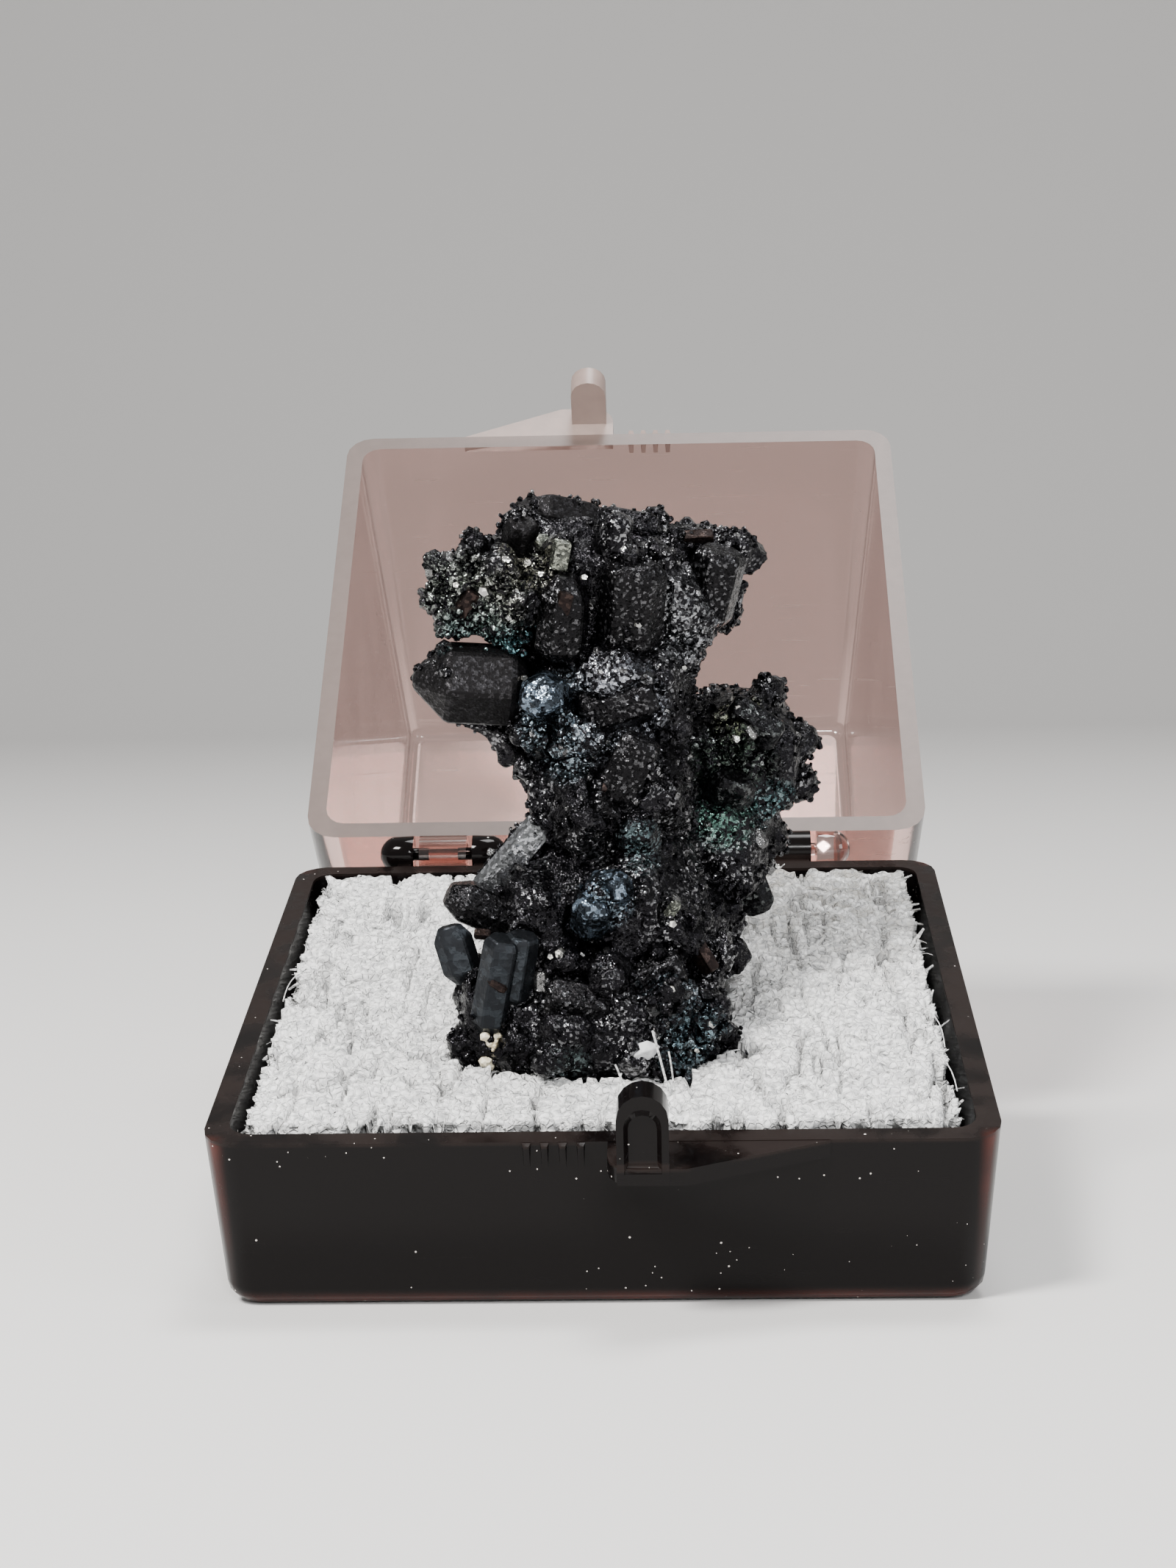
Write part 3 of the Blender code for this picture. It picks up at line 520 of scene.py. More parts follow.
def clear_plastic(colour):
    """Clear polystyrene with a faint pink tint and a soft handling haze."""
    made, tree, shader = new_material("clear polystyrene")
    place = object_place(tree)
    haze = remap(tree, noise(tree, place, 180.0, 5.0), 0.3, 0.75, 0.03, 0.12)
    dusty = shared_group(tree, "Dust and scratches", dust_group, place,
                         {"Speck Spacing": 1.3 * MM, "Speck Share": 0.12})
    fill(tree, shader, {"Base Color": blend_colours(tree, dusty["Specks"], (*colour, 1.0), LID_DUST),
                        "Roughness": math_node(tree, "ADD", haze, dusty["Scratches"]),
                        "Transmission Weight": 1.0, "IOR": POLYSTYRENE_IOR})
    return made


def foam_material(colour):
    """White foam: bright cell walls, painted shade in its hollows, and a painted beige-grey shade towards the
    right back.
    """
    made, tree, shader = new_material("white foam")
    place = box_coordinates(tree)
    split = split_axes(tree, place)
    back = remap(tree, split["Y"], -6.0 * MM, 13.0 * MM)
    right = remap(tree, split["X"], -2.0 * MM, 9.0 * MM)
    mottle = noise(tree, place, 900.0, 4.0)
    # Painted shade: the foam turns a mottled beige grey towards the right back
    right_back_shade = math_node(tree, "MULTIPLY", back, right)
    right_back_shade = math_node(tree, "MULTIPLY", right_back_shade, remap(tree, mottle, 0.3, 0.65))
    white = blend_colours(tree, right_back_shade, (*colour, 1.0), FOAM_PAINTED_SHADE)
    wide = node(tree, "ShaderNodeMapping", {"Vector": place, "Scale": (0.6, 1.4, 1.0)}).outputs[0]
    creased = voronoi(tree, wide, 1 / (0.42 * MM), feature="DISTANCE_TO_EDGE")["Distance"]
    film = math_node(tree, "MULTIPLY", remap(tree, creased, 0.02, 0.24),
                     remap(tree, mottle, 0.32, 0.6, 0.25, 0.75))
    white = blend_colours(tree, film, white, FOAM_FILM)
    # Painted shade: the hollows and knife grooves of the foam turn mid grey
    hollow_shade = remap(tree, node(tree, "ShaderNodeAttribute", attribute_name="hollow").outputs["Fac"], 0.0, 1.0)
    hollow_shade = math_node(tree, "MULTIPLY", hollow_shade, 0.8)
    cells = voronoi(tree, place, 1 / (0.3 * MM), feature="DISTANCE_TO_EDGE")["Distance"]
    fill(tree, shader, {"Base Color": blend_colours(tree, hollow_shade, white, MID_GREY),
                        "Roughness": remap(tree, mottle, 0.3, 0.7, 0.3, 0.8),
                        "Normal": bump(tree, remap(tree, cells, 0.0, 0.2, 1.0, 0.0), 0.9, 0.08 * MM),
                        "Subsurface Weight": 0.12, "Subsurface Radius": (1.0, 1.0, 1.0),
                        "Subsurface Scale": 0.25 * MM})
    return made


CRYSTAL_LOOKS = {
    # colour of the faces, lighter colour, share of light facets, roughness, tilt, facet size in mm
    "druse": ((0.0070, 0.0066, 0.0080), (0.22, 0.22, 0.23), 0.20, 0.18, 0.45, 0.125),
    "dull": ((0.0075, 0.0070, 0.0075), (0.026, 0.025, 0.027), 0.35, 0.44, 0.20, 0.13),
    "granular": ((0.0065, 0.0062, 0.0070), (0.08, 0.08, 0.085), 0.16, 0.24, 0.42, 0.12),
    "slate": ((0.019, 0.021, 0.0245), (0.032, 0.037, 0.043), 0.5, 0.36, 0.07, 0.30),
    "glossy": ((0.0070, 0.0070, 0.0080), (0.06, 0.065, 0.065), 0.2, 0.24, 0.32, 0.16),
    "silver": ((0.12, 0.125, 0.13), (0.34, 0.35, 0.37), 0.5, 0.30, 0.30, 0.18),
    "blue": ((0.018, 0.023, 0.029), (0.17, 0.22, 0.28), 0.4, 0.20, 0.42, 0.20),
    "brown": ((0.014, 0.0095, 0.0090), (0.034, 0.023, 0.020), 0.4, 0.42, 0.20, 0.16),
    "pale": ((0.08, 0.085, 0.075), (0.27, 0.285, 0.24), 0.5, 0.24, 0.34, 0.14),
    # Painted glints: grains coloured bright silver where the crystal's facets mirror the light
    "glint": ((0.30, 0.30, 0.29), (0.85, 0.84, 0.78), 0.5, 0.16, 0.28, 0.2),
}


def crystal_material(finish):
    """Submetallic crystal with a skin of tiny faces, and tarnish where the mesh has it."""
    name = "crystal " + finish
    if name in bpy.data.materials:
        return bpy.data.materials[name]
    made, tree, shader = new_material(name)
    face, light, share, rough, tilt, size = CRYSTAL_LOOKS[finish]
    place = object_place(tree)
    skin = shared_group(tree, "Crystal facets", facet_group, place, {"Facet Size": size * MM, "Tilt": tilt})
    chance = skin["Chance"]
    lit = remap(tree, chance, 1.0 - share - 0.1, 1.0 - 0.5 * share)
    if finish == "druse":
        patchy = noise(tree, place, 1 / (2.4 * MM), 2.0)
        lit = math_node(tree, "MULTIPLY", lit, remap(tree, patchy, 0.46, 0.62, 0.08, 1.0))
    colour = blend_colours(tree, lit, (*face, 1.0), (*light, 1.0))
    if finish == "druse":
        stored = node(tree, "ShaderNodeAttribute", attribute_name="tarnish")
        patch = math_node(tree, "MULTIPLY", stored.outputs["Alpha"], remap(tree, chance, 0.35, 1.0))
        colour = blend_colours(tree, patch, colour, stored.outputs["Color"])
        grain = node(tree, "ShaderNodeAttribute", attribute_name="shade").outputs["Fac"]
        colour = blend_colours(tree, remap(tree, grain, 0.88, 1.0, 0.0, 0.6), colour, MID_GREY)
    fill(tree, shader, {"Base Color": colour, "Metallic": 0.9,
                        "Roughness": remap(tree, chance, 0.0, 1.0, 1.35 * rough, 0.7 * rough),
                        "Normal": bump(tree, skin["Height"], 0.35, 0.05 * MM, Normal=skin["Normal"])})
    return made


def grain_stone(name, colour, other):
    """Small pale mineral grains with a waxy surface."""
    made, tree, shader = new_material(name)
    place = object_place(tree)
    waxy = noise(tree, place, 1 / (0.35 * MM), 4.0)
    mixed = blend_colours(tree, remap(tree, waxy, 0.35, 0.65), (*colour, 1.0), (*other, 1.0))
    fill(tree, shader, {"Base Color": mixed, "Roughness": remap(tree, waxy, 0.3, 0.7, 0.25, 0.55),
                        "Normal": bump(tree, waxy, 0.4, 0.05 * MM)})
    return made


def floor_material(colour):
    made, tree, shader = new_material("studio floor")
    fill(tree, shader, {"Base Color": (*colour, 1.0), "Roughness": 0.7})
    return made


def geometry_tree(name):
    """A geometry node tree with one geometry in and one out."""
    tree = bpy.data.node_groups.new(name, "GeometryNodeTree")
    tree.interface.new_socket(name="Geometry", in_out="INPUT", socket_type="NodeSocketGeometry")
    tree.interface.new_socket(name="Geometry", in_out="OUTPUT", socket_type="NodeSocketGeometry")
    return tree, node(tree, "NodeGroupInput").outputs[0]


def run_tree(obj, tree, result):
    """Close a geometry node tree, and apply it to an object."""
    node(tree, "NodeGroupOutput", {0: result})
    modifier = obj.modifiers.new(tree.name, "NODES")
    modifier.node_group = tree
    apply_modifiers(obj)


def random_value(tree, low, high, seed):
    """A random number for each point or instance."""
    inputs = {2: low, 3: high, "Seed": seed}
    return node(tree, "FunctionNodeRandomValue", inputs, data_type="FLOAT").outputs[1]


def random_vector(tree, low, high, seed):
    """A random vector for each point."""
    inputs = {0: low, 1: high, "Seed": seed}
    return node(tree, "FunctionNodeRandomValue", inputs, data_type="FLOAT_VECTOR").outputs[0]


def random_shapes(tree, points, home, rotation, size, seed):
    """One of a collection's three shapes at each point, picked at random."""
    index = node(tree, "FunctionNodeRandomValue", {4: 0, 5: 2, "Seed": seed}, data_type="INT").outputs[2]
    shapes = node(tree, "GeometryNodeCollectionInfo",
                  {"Collection": home, "Separate Children": True, "Reset Children": True}).outputs[0]
    return node(tree, "GeometryNodeInstanceOnPoints",
                {"Points": points, "Instance": shapes, "Pick Instance": True, "Instance Index": index,
                 "Rotation": rotation, "Scale": size}).outputs[0]


def turned(tree, rotation, angles):
    """A rotation with a further turn about its own axes."""
    turn = node(tree, "FunctionNodeEulerToRotation", {0: angles}).outputs[0]
    return node(tree, "FunctionNodeRotateRotation", {"Rotation": rotation, "Rotate By": turn},
                rotation_space="LOCAL").outputs[0]


def random_size(tree, low, high, skew, seed):
    """A random size for each point, the small ones more often."""
    chance = math_node(tree, "POWER", random_value(tree, 0.0, 1.0, seed), skew)
    return node(tree, "ShaderNodeMapRange", {"Value": chance, "To Min": low, "To Max": high}).outputs[0]


def raised(tree, surface, height):
    """A surface moved along its normals."""
    offset = vector_math(tree, "SCALE", node(tree, "GeometryNodeInputNormal").outputs[0], height)
    return node(tree, "GeometryNodeSetPosition", {"Geometry": surface, "Offset": offset}).outputs[0]


def stored_value(tree, geometry, name, value, domain):
    """Geometry with a value stored under a name."""
    return node(tree, "GeometryNodeStoreNamedAttribute", {"Geometry": geometry, "Name": name, "Value": value},
                data_type="FLOAT", domain=domain).outputs[0]


def point_place(tree):
    return node(tree, "GeometryNodeInputPosition").outputs[0]


def realized(tree, instances):
    return node(tree, "GeometryNodeRealizeInstances", {"Geometry": instances}).outputs[0]


def move_home(shape, home):
    """Keep a shape in one collection only."""
    for owner in list(shape.users_collection):
        owner.objects.unlink(shape)
    home.objects.link(shape)


def remove_helpers(home, *others):
    """Take away objects that were only there to be repeated or kept clear of."""
    for helper in (*home.objects, *others):
        bpy.data.objects.remove(helper, do_unlink=True)


def crystal_shapes():
    """The three small crystals that the crust repeats: a prism, a block and a plate."""
    home = bpy.data.collections.new("crust crystals")
    bpy.context.scene.collection.children.link(home)
    for name, sides, radius, depth, tip in (("prism", 6, 0.5, 1.1, 0.5), ("block", 4, 0.60, 0.8, 0.72),
                                            ("plate", 6, 0.62, 0.5, 0.8)):
        bpy.ops.object.select_all(action="DESELECT")
        bpy.ops.mesh.primitive_cylinder_add(vertices=sides, radius=radius, depth=depth)
        shape = bpy.context.object
        shape.name = "crust_" + name
        edit(shape)
        pick(shape.data.polygons, lambda face: face.normal.z > 0.9)
        bpy.ops.mesh.extrude_region_move(TRANSFORM_OT_translate={"value": (0, 0, 0.22 * depth)})
        bpy.ops.transform.resize(value=(tip, tip, 1.0))
        bpy.ops.mesh.select_all(action="SELECT")
        bpy.ops.mesh.quads_convert_to_tris()
        bpy.ops.object.mode_set(mode="OBJECT")
        move_home(shape, home)
    return home


def scattered(tree, surface, home, seed, spacing, density, size_low, size_high, skew, sink, lean):
    """Crystals on a surface: Poisson spread, sunk into it, leaning and turned at random."""
    spread = node(tree, "GeometryNodeDistributePointsOnFaces",
                  {"Mesh": surface, "Distance Min": spacing, "Density Max": 1.6 / spacing ** 2,
                   "Density Factor": density, "Seed": seed}, distribute_method="POISSON")
    tilt = random_vector(tree, (-lean, -lean, -3.1), (lean, lean, 3.1), seed + 1)
    rotation = turned(tree, spread.outputs["Rotation"], tilt)
    size = random_size(tree, size_low, size_high, skew, seed + 2)
    inward = vector_math(tree, "SCALE", spread.outputs["Normal"], math_node(tree, "MULTIPLY", size, -sink))
    points = node(tree, "GeometryNodeSetPosition", {"Geometry": spread.outputs["Points"], "Offset": inward})
    return random_shapes(tree, points.outputs[0], home, rotation, size, seed + 3)


def standing_guard():
    """One upright copy of all the standing crystals, which the crust keeps off."""
    copies = []
    for name in STANDING:
        mesh = bpy.data.objects[name].data.copy()
        mesh.transform(BOX.inverted())
        copy = bpy.data.objects.new("guard", mesh)
        bpy.context.scene.collection.objects.link(copy)
        copies.append(copy)
    return join(copies, "crust_guard")


def distance_from(tree, target):
    """How far a point is from the faces of another object."""
    other = node(tree, "GeometryNodeObjectInfo", {"Object": target}, transform_space="RELATIVE")
    return node(tree, "GeometryNodeProximity", {"Geometry": other.outputs["Geometry"]},
                target_element="FACES").outputs["Distance"]


def near_spots(tree, place, spots):
    """How near a place is to any of some spots, from 0 far off to 1 in the middle of one."""
    nearest = None
    for centre, radius in spots:
        away = vector_math(tree, "DISTANCE", place, from_rim(centre), "Value")
        here = remap(tree, away, 0.55 * radius * MM, 1.25 * radius * MM, 1.0, 0.0)
        nearest = here if nearest is None else math_node(tree, "MAXIMUM", nearest, here)
    return nearest


def standing_crystal(centre, along, length, width, thick, turn, sides, first, last):
    """One crystal that stands clear: a prism with a bevelled taper at each end."""
    bpy.ops.object.select_all(action="DESELECT")
    middle = length * MM * (1.0 - first[0] - last[0])
    bpy.ops.mesh.primitive_cylinder_add(vertices=sides, radius=width * MM / 2, depth=middle)
    piece = bpy.context.object
    for sign, (reach, scale) in ((-1, first), (1, last)):
        edit(piece)
        pick(piece.data.polygons, lambda face: face.normal.z * sign > 0.9)
        bpy.ops.mesh.extrude_region_move(TRANSFORM_OT_translate={"value": (0, 0, sign * reach * length * MM)})
        bpy.ops.transform.resize(value=(scale, scale, 1.0))
        bpy.ops.object.mode_set(mode="OBJECT")
    edit_all(piece)
    bpy.ops.transform.rotate(value=math.radians(turn), orient_axis="Z", center_override=(0, 0, 0))
    bpy.ops.transform.resize(value=(1.0, thick, 1.0))
    bpy.ops.mesh.bevel(offset=0.035 * width * MM, segments=1, affect="EDGES")
    bpy.ops.object.mode_set(mode="OBJECT")
    axis = Vector(along).normalized()
    side = Vector((0, 1, 0)).cross(axis).normalized()
    aim = Matrix((side, axis.cross(side), axis)).transposed().to_4x4()
    middle_shift = Vector((0, 0, (first[0] - last[0]) * length * MM / 2))
    piece.matrix_world = Matrix.Translation(from_rim(centre)) @ aim @ Matrix.Translation(middle_shift)
    return piece


def join(pieces, name):
    """Join pieces into the first one, under a new name."""
    bpy.ops.object.select_all(action="DESELECT")
    for piece in pieces:
        piece.select_set(True)
    bpy.context.view_layer.objects.active = pieces[0]
    if len(pieces) > 1:
        bpy.ops.object.join()
    joined = bpy.context.object
    joined.name = name
    return joined


def length_property(name, description, default):
    return bpy.props.FloatProperty(name=name, description=description, default=default, unit="LENGTH")


def colour_property(name, description, default):
    return bpy.props.FloatVectorProperty(name=name, description=description, default=default, size=3,
                                         subtype="COLOR")


class SpecimenSizes(bpy.types.PropertyGroup):
    """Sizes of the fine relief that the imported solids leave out."""
    edge: length_property("Worn Edge", "Width of the softened edges of the moulded plastic", 0.10 * MM)
    grain: length_property("Crust Spacing", "Least distance between two crystals of the crust", 0.27 * MM)
    block: length_property("Block Spacing", "Least distance between two intergrown blocks", 1.35 * MM)
    skin: length_property("Skin Mesh", "Width of one face of the cluster's fused skin", 0.158 * MM)
    cell: length_property("Foam Cell", "Width of one cell of the foam", 0.62 * MM)
    cell_depth: length_property("Cell Depth", "Depth of the cut cells of the foam", 0.50 * MM)
    sliver: length_property("Foam Sliver", "Length of a torn sliver on the foam", 0.8 * MM)


class SpecimenColours(bpy.types.PropertyGroup):
    """Colours of the box, the foam and the studio."""
    black: colour_property("Base", "Colour of the black plastic base", (0.0030, 0.0022, 0.0022))
    clear: colour_property("Lid", "Tint of the clear plastic lid", (0.73, 0.51, 0.465))
    frosted: colour_property("Lid Edge", "Colour of the lid's matt edge", (0.17, 0.122, 0.106))
    latch: colour_property("Lid Latch", "Colour of the lid's matt latch", (0.42, 0.32, 0.285))
    foam: colour_property("Foam", "Colour of the foam", (0.86, 0.86, 0.85))
    floor: colour_property("Floor", "Colour of the pale floor", (0.72, 0.71, 0.70))


class SPECIMEN_OT_stage(bpy.types.Operator):
    """Set the camera, the pale floor that sweeps up behind, and the soft lights"""
    bl_idname = "specimen.stage"
    bl_label = "Camera, Floor and Lights"

    def execute(self, context):
        sine, cosine = math.sin(VIEW_PITCH), math.cos(VIEW_PITCH)
        ahead = Vector((math.sin(VIEW_YAW) * cosine, math.cos(VIEW_YAW) * cosine, -sine))
        level = Vector((math.cos(VIEW_YAW), -math.sin(VIEW_YAW), 0.0))
        upright = level.cross(ahead)
        right = math.cos(VIEW_ROLL) * level + math.sin(VIEW_ROLL) * upright
        up = math.cos(VIEW_ROLL) * upright - math.sin(VIEW_ROLL) * level
        turn = Matrix((right, up, -ahead)).transposed().to_4x4()
        lens = bpy.data.cameras.new("camera")
        lens.sensor_fit = "VERTICAL"
        lens.sensor_height = VIEW_SENSOR
        lens.lens = VIEW_LENS
        lens.clip_start = 0.001
        camera = bpy.data.objects.new("camera", lens)
        context.scene.collection.objects.link(camera)
        camera.matrix_world = BOX @ Matrix.Translation(VIEW_PLACE) @ turn
        context.scene.camera = camera
        self.floor(context.scene.specimen_colours.floor)
        self.lights(context)
        return {"FINISHED"}

    def floor(self, colour):
        bpy.ops.object.select_all(action="DESELECT")
        bpy.ops.mesh.primitive_plane_add(size=FLOOR_SIZE, location=(0, FLOOR_SHIFT, 0))
        floor = bpy.context.object
        floor.name = "floor_sweep"
        edit(floor, "EDGE")
        points = floor.data.vertices
        pick(floor.data.edges, lambda line: all(points[end].co.y > 0 for end in line.vertices))
        for step in range(1, BEND_STEPS + 1):
            bend = step * BEND_ANGLE
            shift = (0.0, BEND_LENGTH * math.cos(bend), BEND_LENGTH * math.sin(bend))
            bpy.ops.mesh.extrude_region_move(TRANSFORM_OT_translate={"value": shift})
        bpy.ops.mesh.extrude_region_move(TRANSFORM_OT_translate={"value": WALL_RISE})
        bpy.ops.object.mode_set(mode="OBJECT")
        alone(floor)
        bpy.ops.object.transform_apply(location=True, rotation=True, scale=True)
        bpy.ops.object.shade_smooth()
        floor.data.materials.append(floor_material(colour))

    def lights(self, context):
        for name, (place, size, power, colour) in LIGHTS.items():
            lamp = bpy.data.lights.new(name, "AREA")
            lamp.shape = "SQUARE"
            lamp.size = size
            lamp.energy = power
            lamp.color = colour
            obj = bpy.data.objects.new(name, lamp)
            context.scene.collection.objects.link(obj)
            obj.location = place
            obj.rotation_euler = (LIGHT_TARGET - Vector(place)).to_track_quat("-Z", "Y").to_euler()
        world = bpy.data.worlds.new("studio")
        world.use_nodes = True
        fill(world.node_tree, world.node_tree.nodes["Background"],
             {"Color": WORLD_COLOUR, "Strength": WORLD_STRENGTH})
        context.scene.world = world


class SPECIMEN_OT_base(bpy.types.Operator):
    """Finish the glossy black base of the box"""
    bl_idname = "specimen.base"
    bl_label = "Box Base"

    def execute(self, context):
        piece = moulded("box_base", "base_tray", context.scene.specimen_sizes.edge)
        black = black_plastic(context.scene.specimen_colours.black)
        finish_piece(piece, black, "base", "black_polystyrene", "box_base")
        return {"FINISHED"}


class SPECIMEN_OT_lid(bpy.types.Operator):
    """Finish the clear lid of the box"""
    bl_idname = "specimen.lid"
    bl_label = "Box Lid"

    def execute(self, context):
        piece = moulded("box_lid", "lid_shell", context.scene.specimen_sizes.edge)
        colours = context.scene.specimen_colours
        finish_piece(piece, clear_plastic(colours.clear), "lid", "clear_polystyrene", "box_lid")
        piece.data.materials.append(frosted_plastic("frosted edge", colours.frosted))
        piece.data.materials.append(frosted_plastic("frosted latch", colours.latch))
        hinge = Vector(frame["joints"][0]["pos_m"])
        swing = Matrix.Rotation(math.radians(frame["joints"][0]["range_deg"][1]), 4, "X")
        closed = BOX.inverted() @ Matrix.Translation(hinge) @ swing @ Matrix.Translation(-hinge)

        def on_edge(face):
            height = (closed @ face.center).z
            return abs(height - LID_EDGE) < 0.2 * MM and (closed.to_3x3() @ face.normal).z < -0.2

        def on_latch(face):
            return (closed @ face.center).y < -BASE_HALF[1] - 0.05 * MM
        for index, test in ((1, on_edge), (2, on_latch)):
            edit(piece)
            pick(piece.data.polygons, test)
            piece.active_material_index = index
            bpy.ops.object.material_slot_assign()
            bpy.ops.object.mode_set(mode="OBJECT")
        return {"FINISHED"}


def moulded(node_name, name, edge):
    """A moulded plastic half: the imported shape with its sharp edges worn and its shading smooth."""
    piece = own_copy(node_name, name)
    edit_all(piece, "VERT")
    bpy.ops.mesh.dissolve_limited(angle_limit=math.radians(1.0))
    bpy.ops.object.mode_set(mode="OBJECT")
    worn = piece.modifiers.new("worn edges", "BEVEL")
    worn.width = edge
    worn.segments = 2
    worn.limit_method = "ANGLE"
    worn.angle_limit = math.radians(40.0)
    apply_modifiers(piece)
    alone(piece)
    bpy.ops.object.shade_smooth_by_angle(angle=math.radians(35.0))
    weighted = piece.modifiers.new("flat faces", "WEIGHTED_NORMAL")
    weighted.keep_sharp = True
    apply_modifiers(piece)
    return piece


class SPECIMEN_OT_foam(bpy.types.Operator):
    """Cut the foam insert: open cells, torn edges and long knife streaks"""
    bl_idname = "specimen.foam"
    bl_label = "Foam Insert"

    def execute(self, context):
        sizes = context.scene.specimen_sizes
        bpy.ops.object.select_all(action="DESELECT")
        steps = [round(2 * half / FOAM_MESH) for half in FOAM_HALF]
        bpy.ops.mesh.primitive_grid_add(x_subdivisions=steps[0], y_subdivisions=steps[1], size=2.0,
                                        location=(0, 0, FOAM_TOP))
        piece = bpy.context.object
        piece.name = "foam_insert"
        piece.scale = (FOAM_HALF[0] - FOAM_INSET, FOAM_HALF[1] - FOAM_INSET, 1.0)
        bpy.ops.object.transform_apply(location=True, rotation=True, scale=True)
        self.press_pit(piece)
        self.close_sides(piece)
        self.cut_cells(piece, sizes.cell, sizes.cell_depth)
        settle(piece)
        bpy.ops.object.shade_smooth()
        foam = foam_material(context.scene.specimen_colours.foam)
        finish_piece(piece, foam, "base", "white_foam", "foam_block")
        return {"FINISHED"}

    def press_pit(self, piece):
        """Push the top down where the foot of the cluster is pressed into it."""
        mesh = frame["nodes"]["gaudefroyite_cluster"].data
        upright = BOX.inverted()
        tree = BVHTree.FromPolygons([upright @ point.co for point in mesh.vertices],
                                    [tuple(face.vertices) for face in mesh.polygons])
        edit(piece, "VERT")

        def inside(point):
            spot, normal, _, distance = tree.find_nearest(point.co)
            return distance < 0.15 * MM or (point.co - spot).dot(normal) < 0
        pick(piece.data.vertices, inside)
        bpy.ops.transform.translate(value=(0, 0, -PIT_DEPTH))
        bpy.ops.object.mode_set(mode="OBJECT")

    def close_sides(self, piece):
        """Extrude the rim of the top down to the bottom, and fill it."""
        edit(piece, "EDGE")
        bpy.ops.object.mode_set(mode="EDIT")
        bpy.ops.mesh.select_non_manifold()
        for drop in (0.35 * MM, 0.6 * MM, 1.4 * MM, FOAM_TOP - FOAM_BOTTOM - 2.35 * MM):
            bpy.ops.mesh.extrude_region_move(TRANSFORM_OT_translate={"value": (0, 0, -drop)})
        bpy.ops.mesh.edge_face_add()
        bpy.ops.mesh.select_all(action="SELECT")
        bpy.ops.mesh.normals_make_consistent(inside=False)
        bpy.ops.object.mode_set(mode="OBJECT")

    def cut_cells(self, piece, cell, depth):
        """Cut cells, torn walls and long knife streaks as real relief on the upper part."""
        tree, surface = geometry_tree("foam cells")
        place = point_place(tree)
        wander = node(tree, "ShaderNodeTexNoise", {"Vector": place, "Scale": 1 / (1.1 * MM), "Detail": 2.0})
        shift = vector_math(tree, "MULTIPLY", wander.outputs["Color"], (0.7 * MM, 0.5 * MM, 0.5 * MM))
        moved = vector_math(tree, "ADD", place, shift)
        wide = vector_math(tree, "MULTIPLY", moved, (0.55 / cell, 1.15 / cell, 1.0 / cell))
        walls = voronoi(tree, wide, 1.0, feature="DISTANCE_TO_EDGE")["Distance"]
        random_depth = split_axes(tree, voronoi(tree, wide, 1.0)["Color"])["X"]
        hollow = math_node(tree, "MULTIPLY", remap(tree, walls, 0.02, 0.30),
                           remap(tree, random_depth, 0.25, 0.95, 0.05, 1.0))
        crossed = vector_math(tree, "MULTIPLY", place, (1 / (0.8 * MM), 1 / (0.22 * MM), 1 / (0.4 * MM)))
        rough = remap(tree, noise(tree, crossed, 1.0, 3.0), 0.3, 0.7, -0.5, 0.5)
        long = vector_math(tree, "MULTIPLY", place, (1 / (1.3 * MM), 1 / (9.0 * MM), 1 / (9.0 * MM)))
        off = math_node(tree, "ABSOLUTE", math_node(tree, "SUBTRACT", noise(tree, long, 1.0, 1.0), 0.5))
        patchy = remap(tree, noise(tree, place, 1 / (2.6 * MM), 1.0), 0.42, 0.5)
        groove = math_node(tree, "MULTIPLY", remap(tree, off, 0.0, 0.034, 1.0, 0.0), patchy)
        drop = math_node(tree, "MULTIPLY_ADD", hollow, -0.8, math_node(tree, "MULTIPLY", rough, 0.8))
        drop = math_node(tree, "MULTIPLY_ADD", groove, -1.6, drop)
        height = split_axes(tree, place)["Z"]
        upper = remap(tree, height, FOAM_TOP - 2.2 * MM, FOAM_TOP - 0.9 * MM)
        drop = math_node(tree, "MULTIPLY", math_node(tree, "MULTIPLY", drop, depth), upper)
        # How hollow each point is, which the foam's material turns into painted shade
        shaded = stored_value(tree, surface, "hollow", math_node(tree, "MAXIMUM", hollow, groove), "POINT")
        run_tree(piece, tree, raised(tree, shaded, drop))


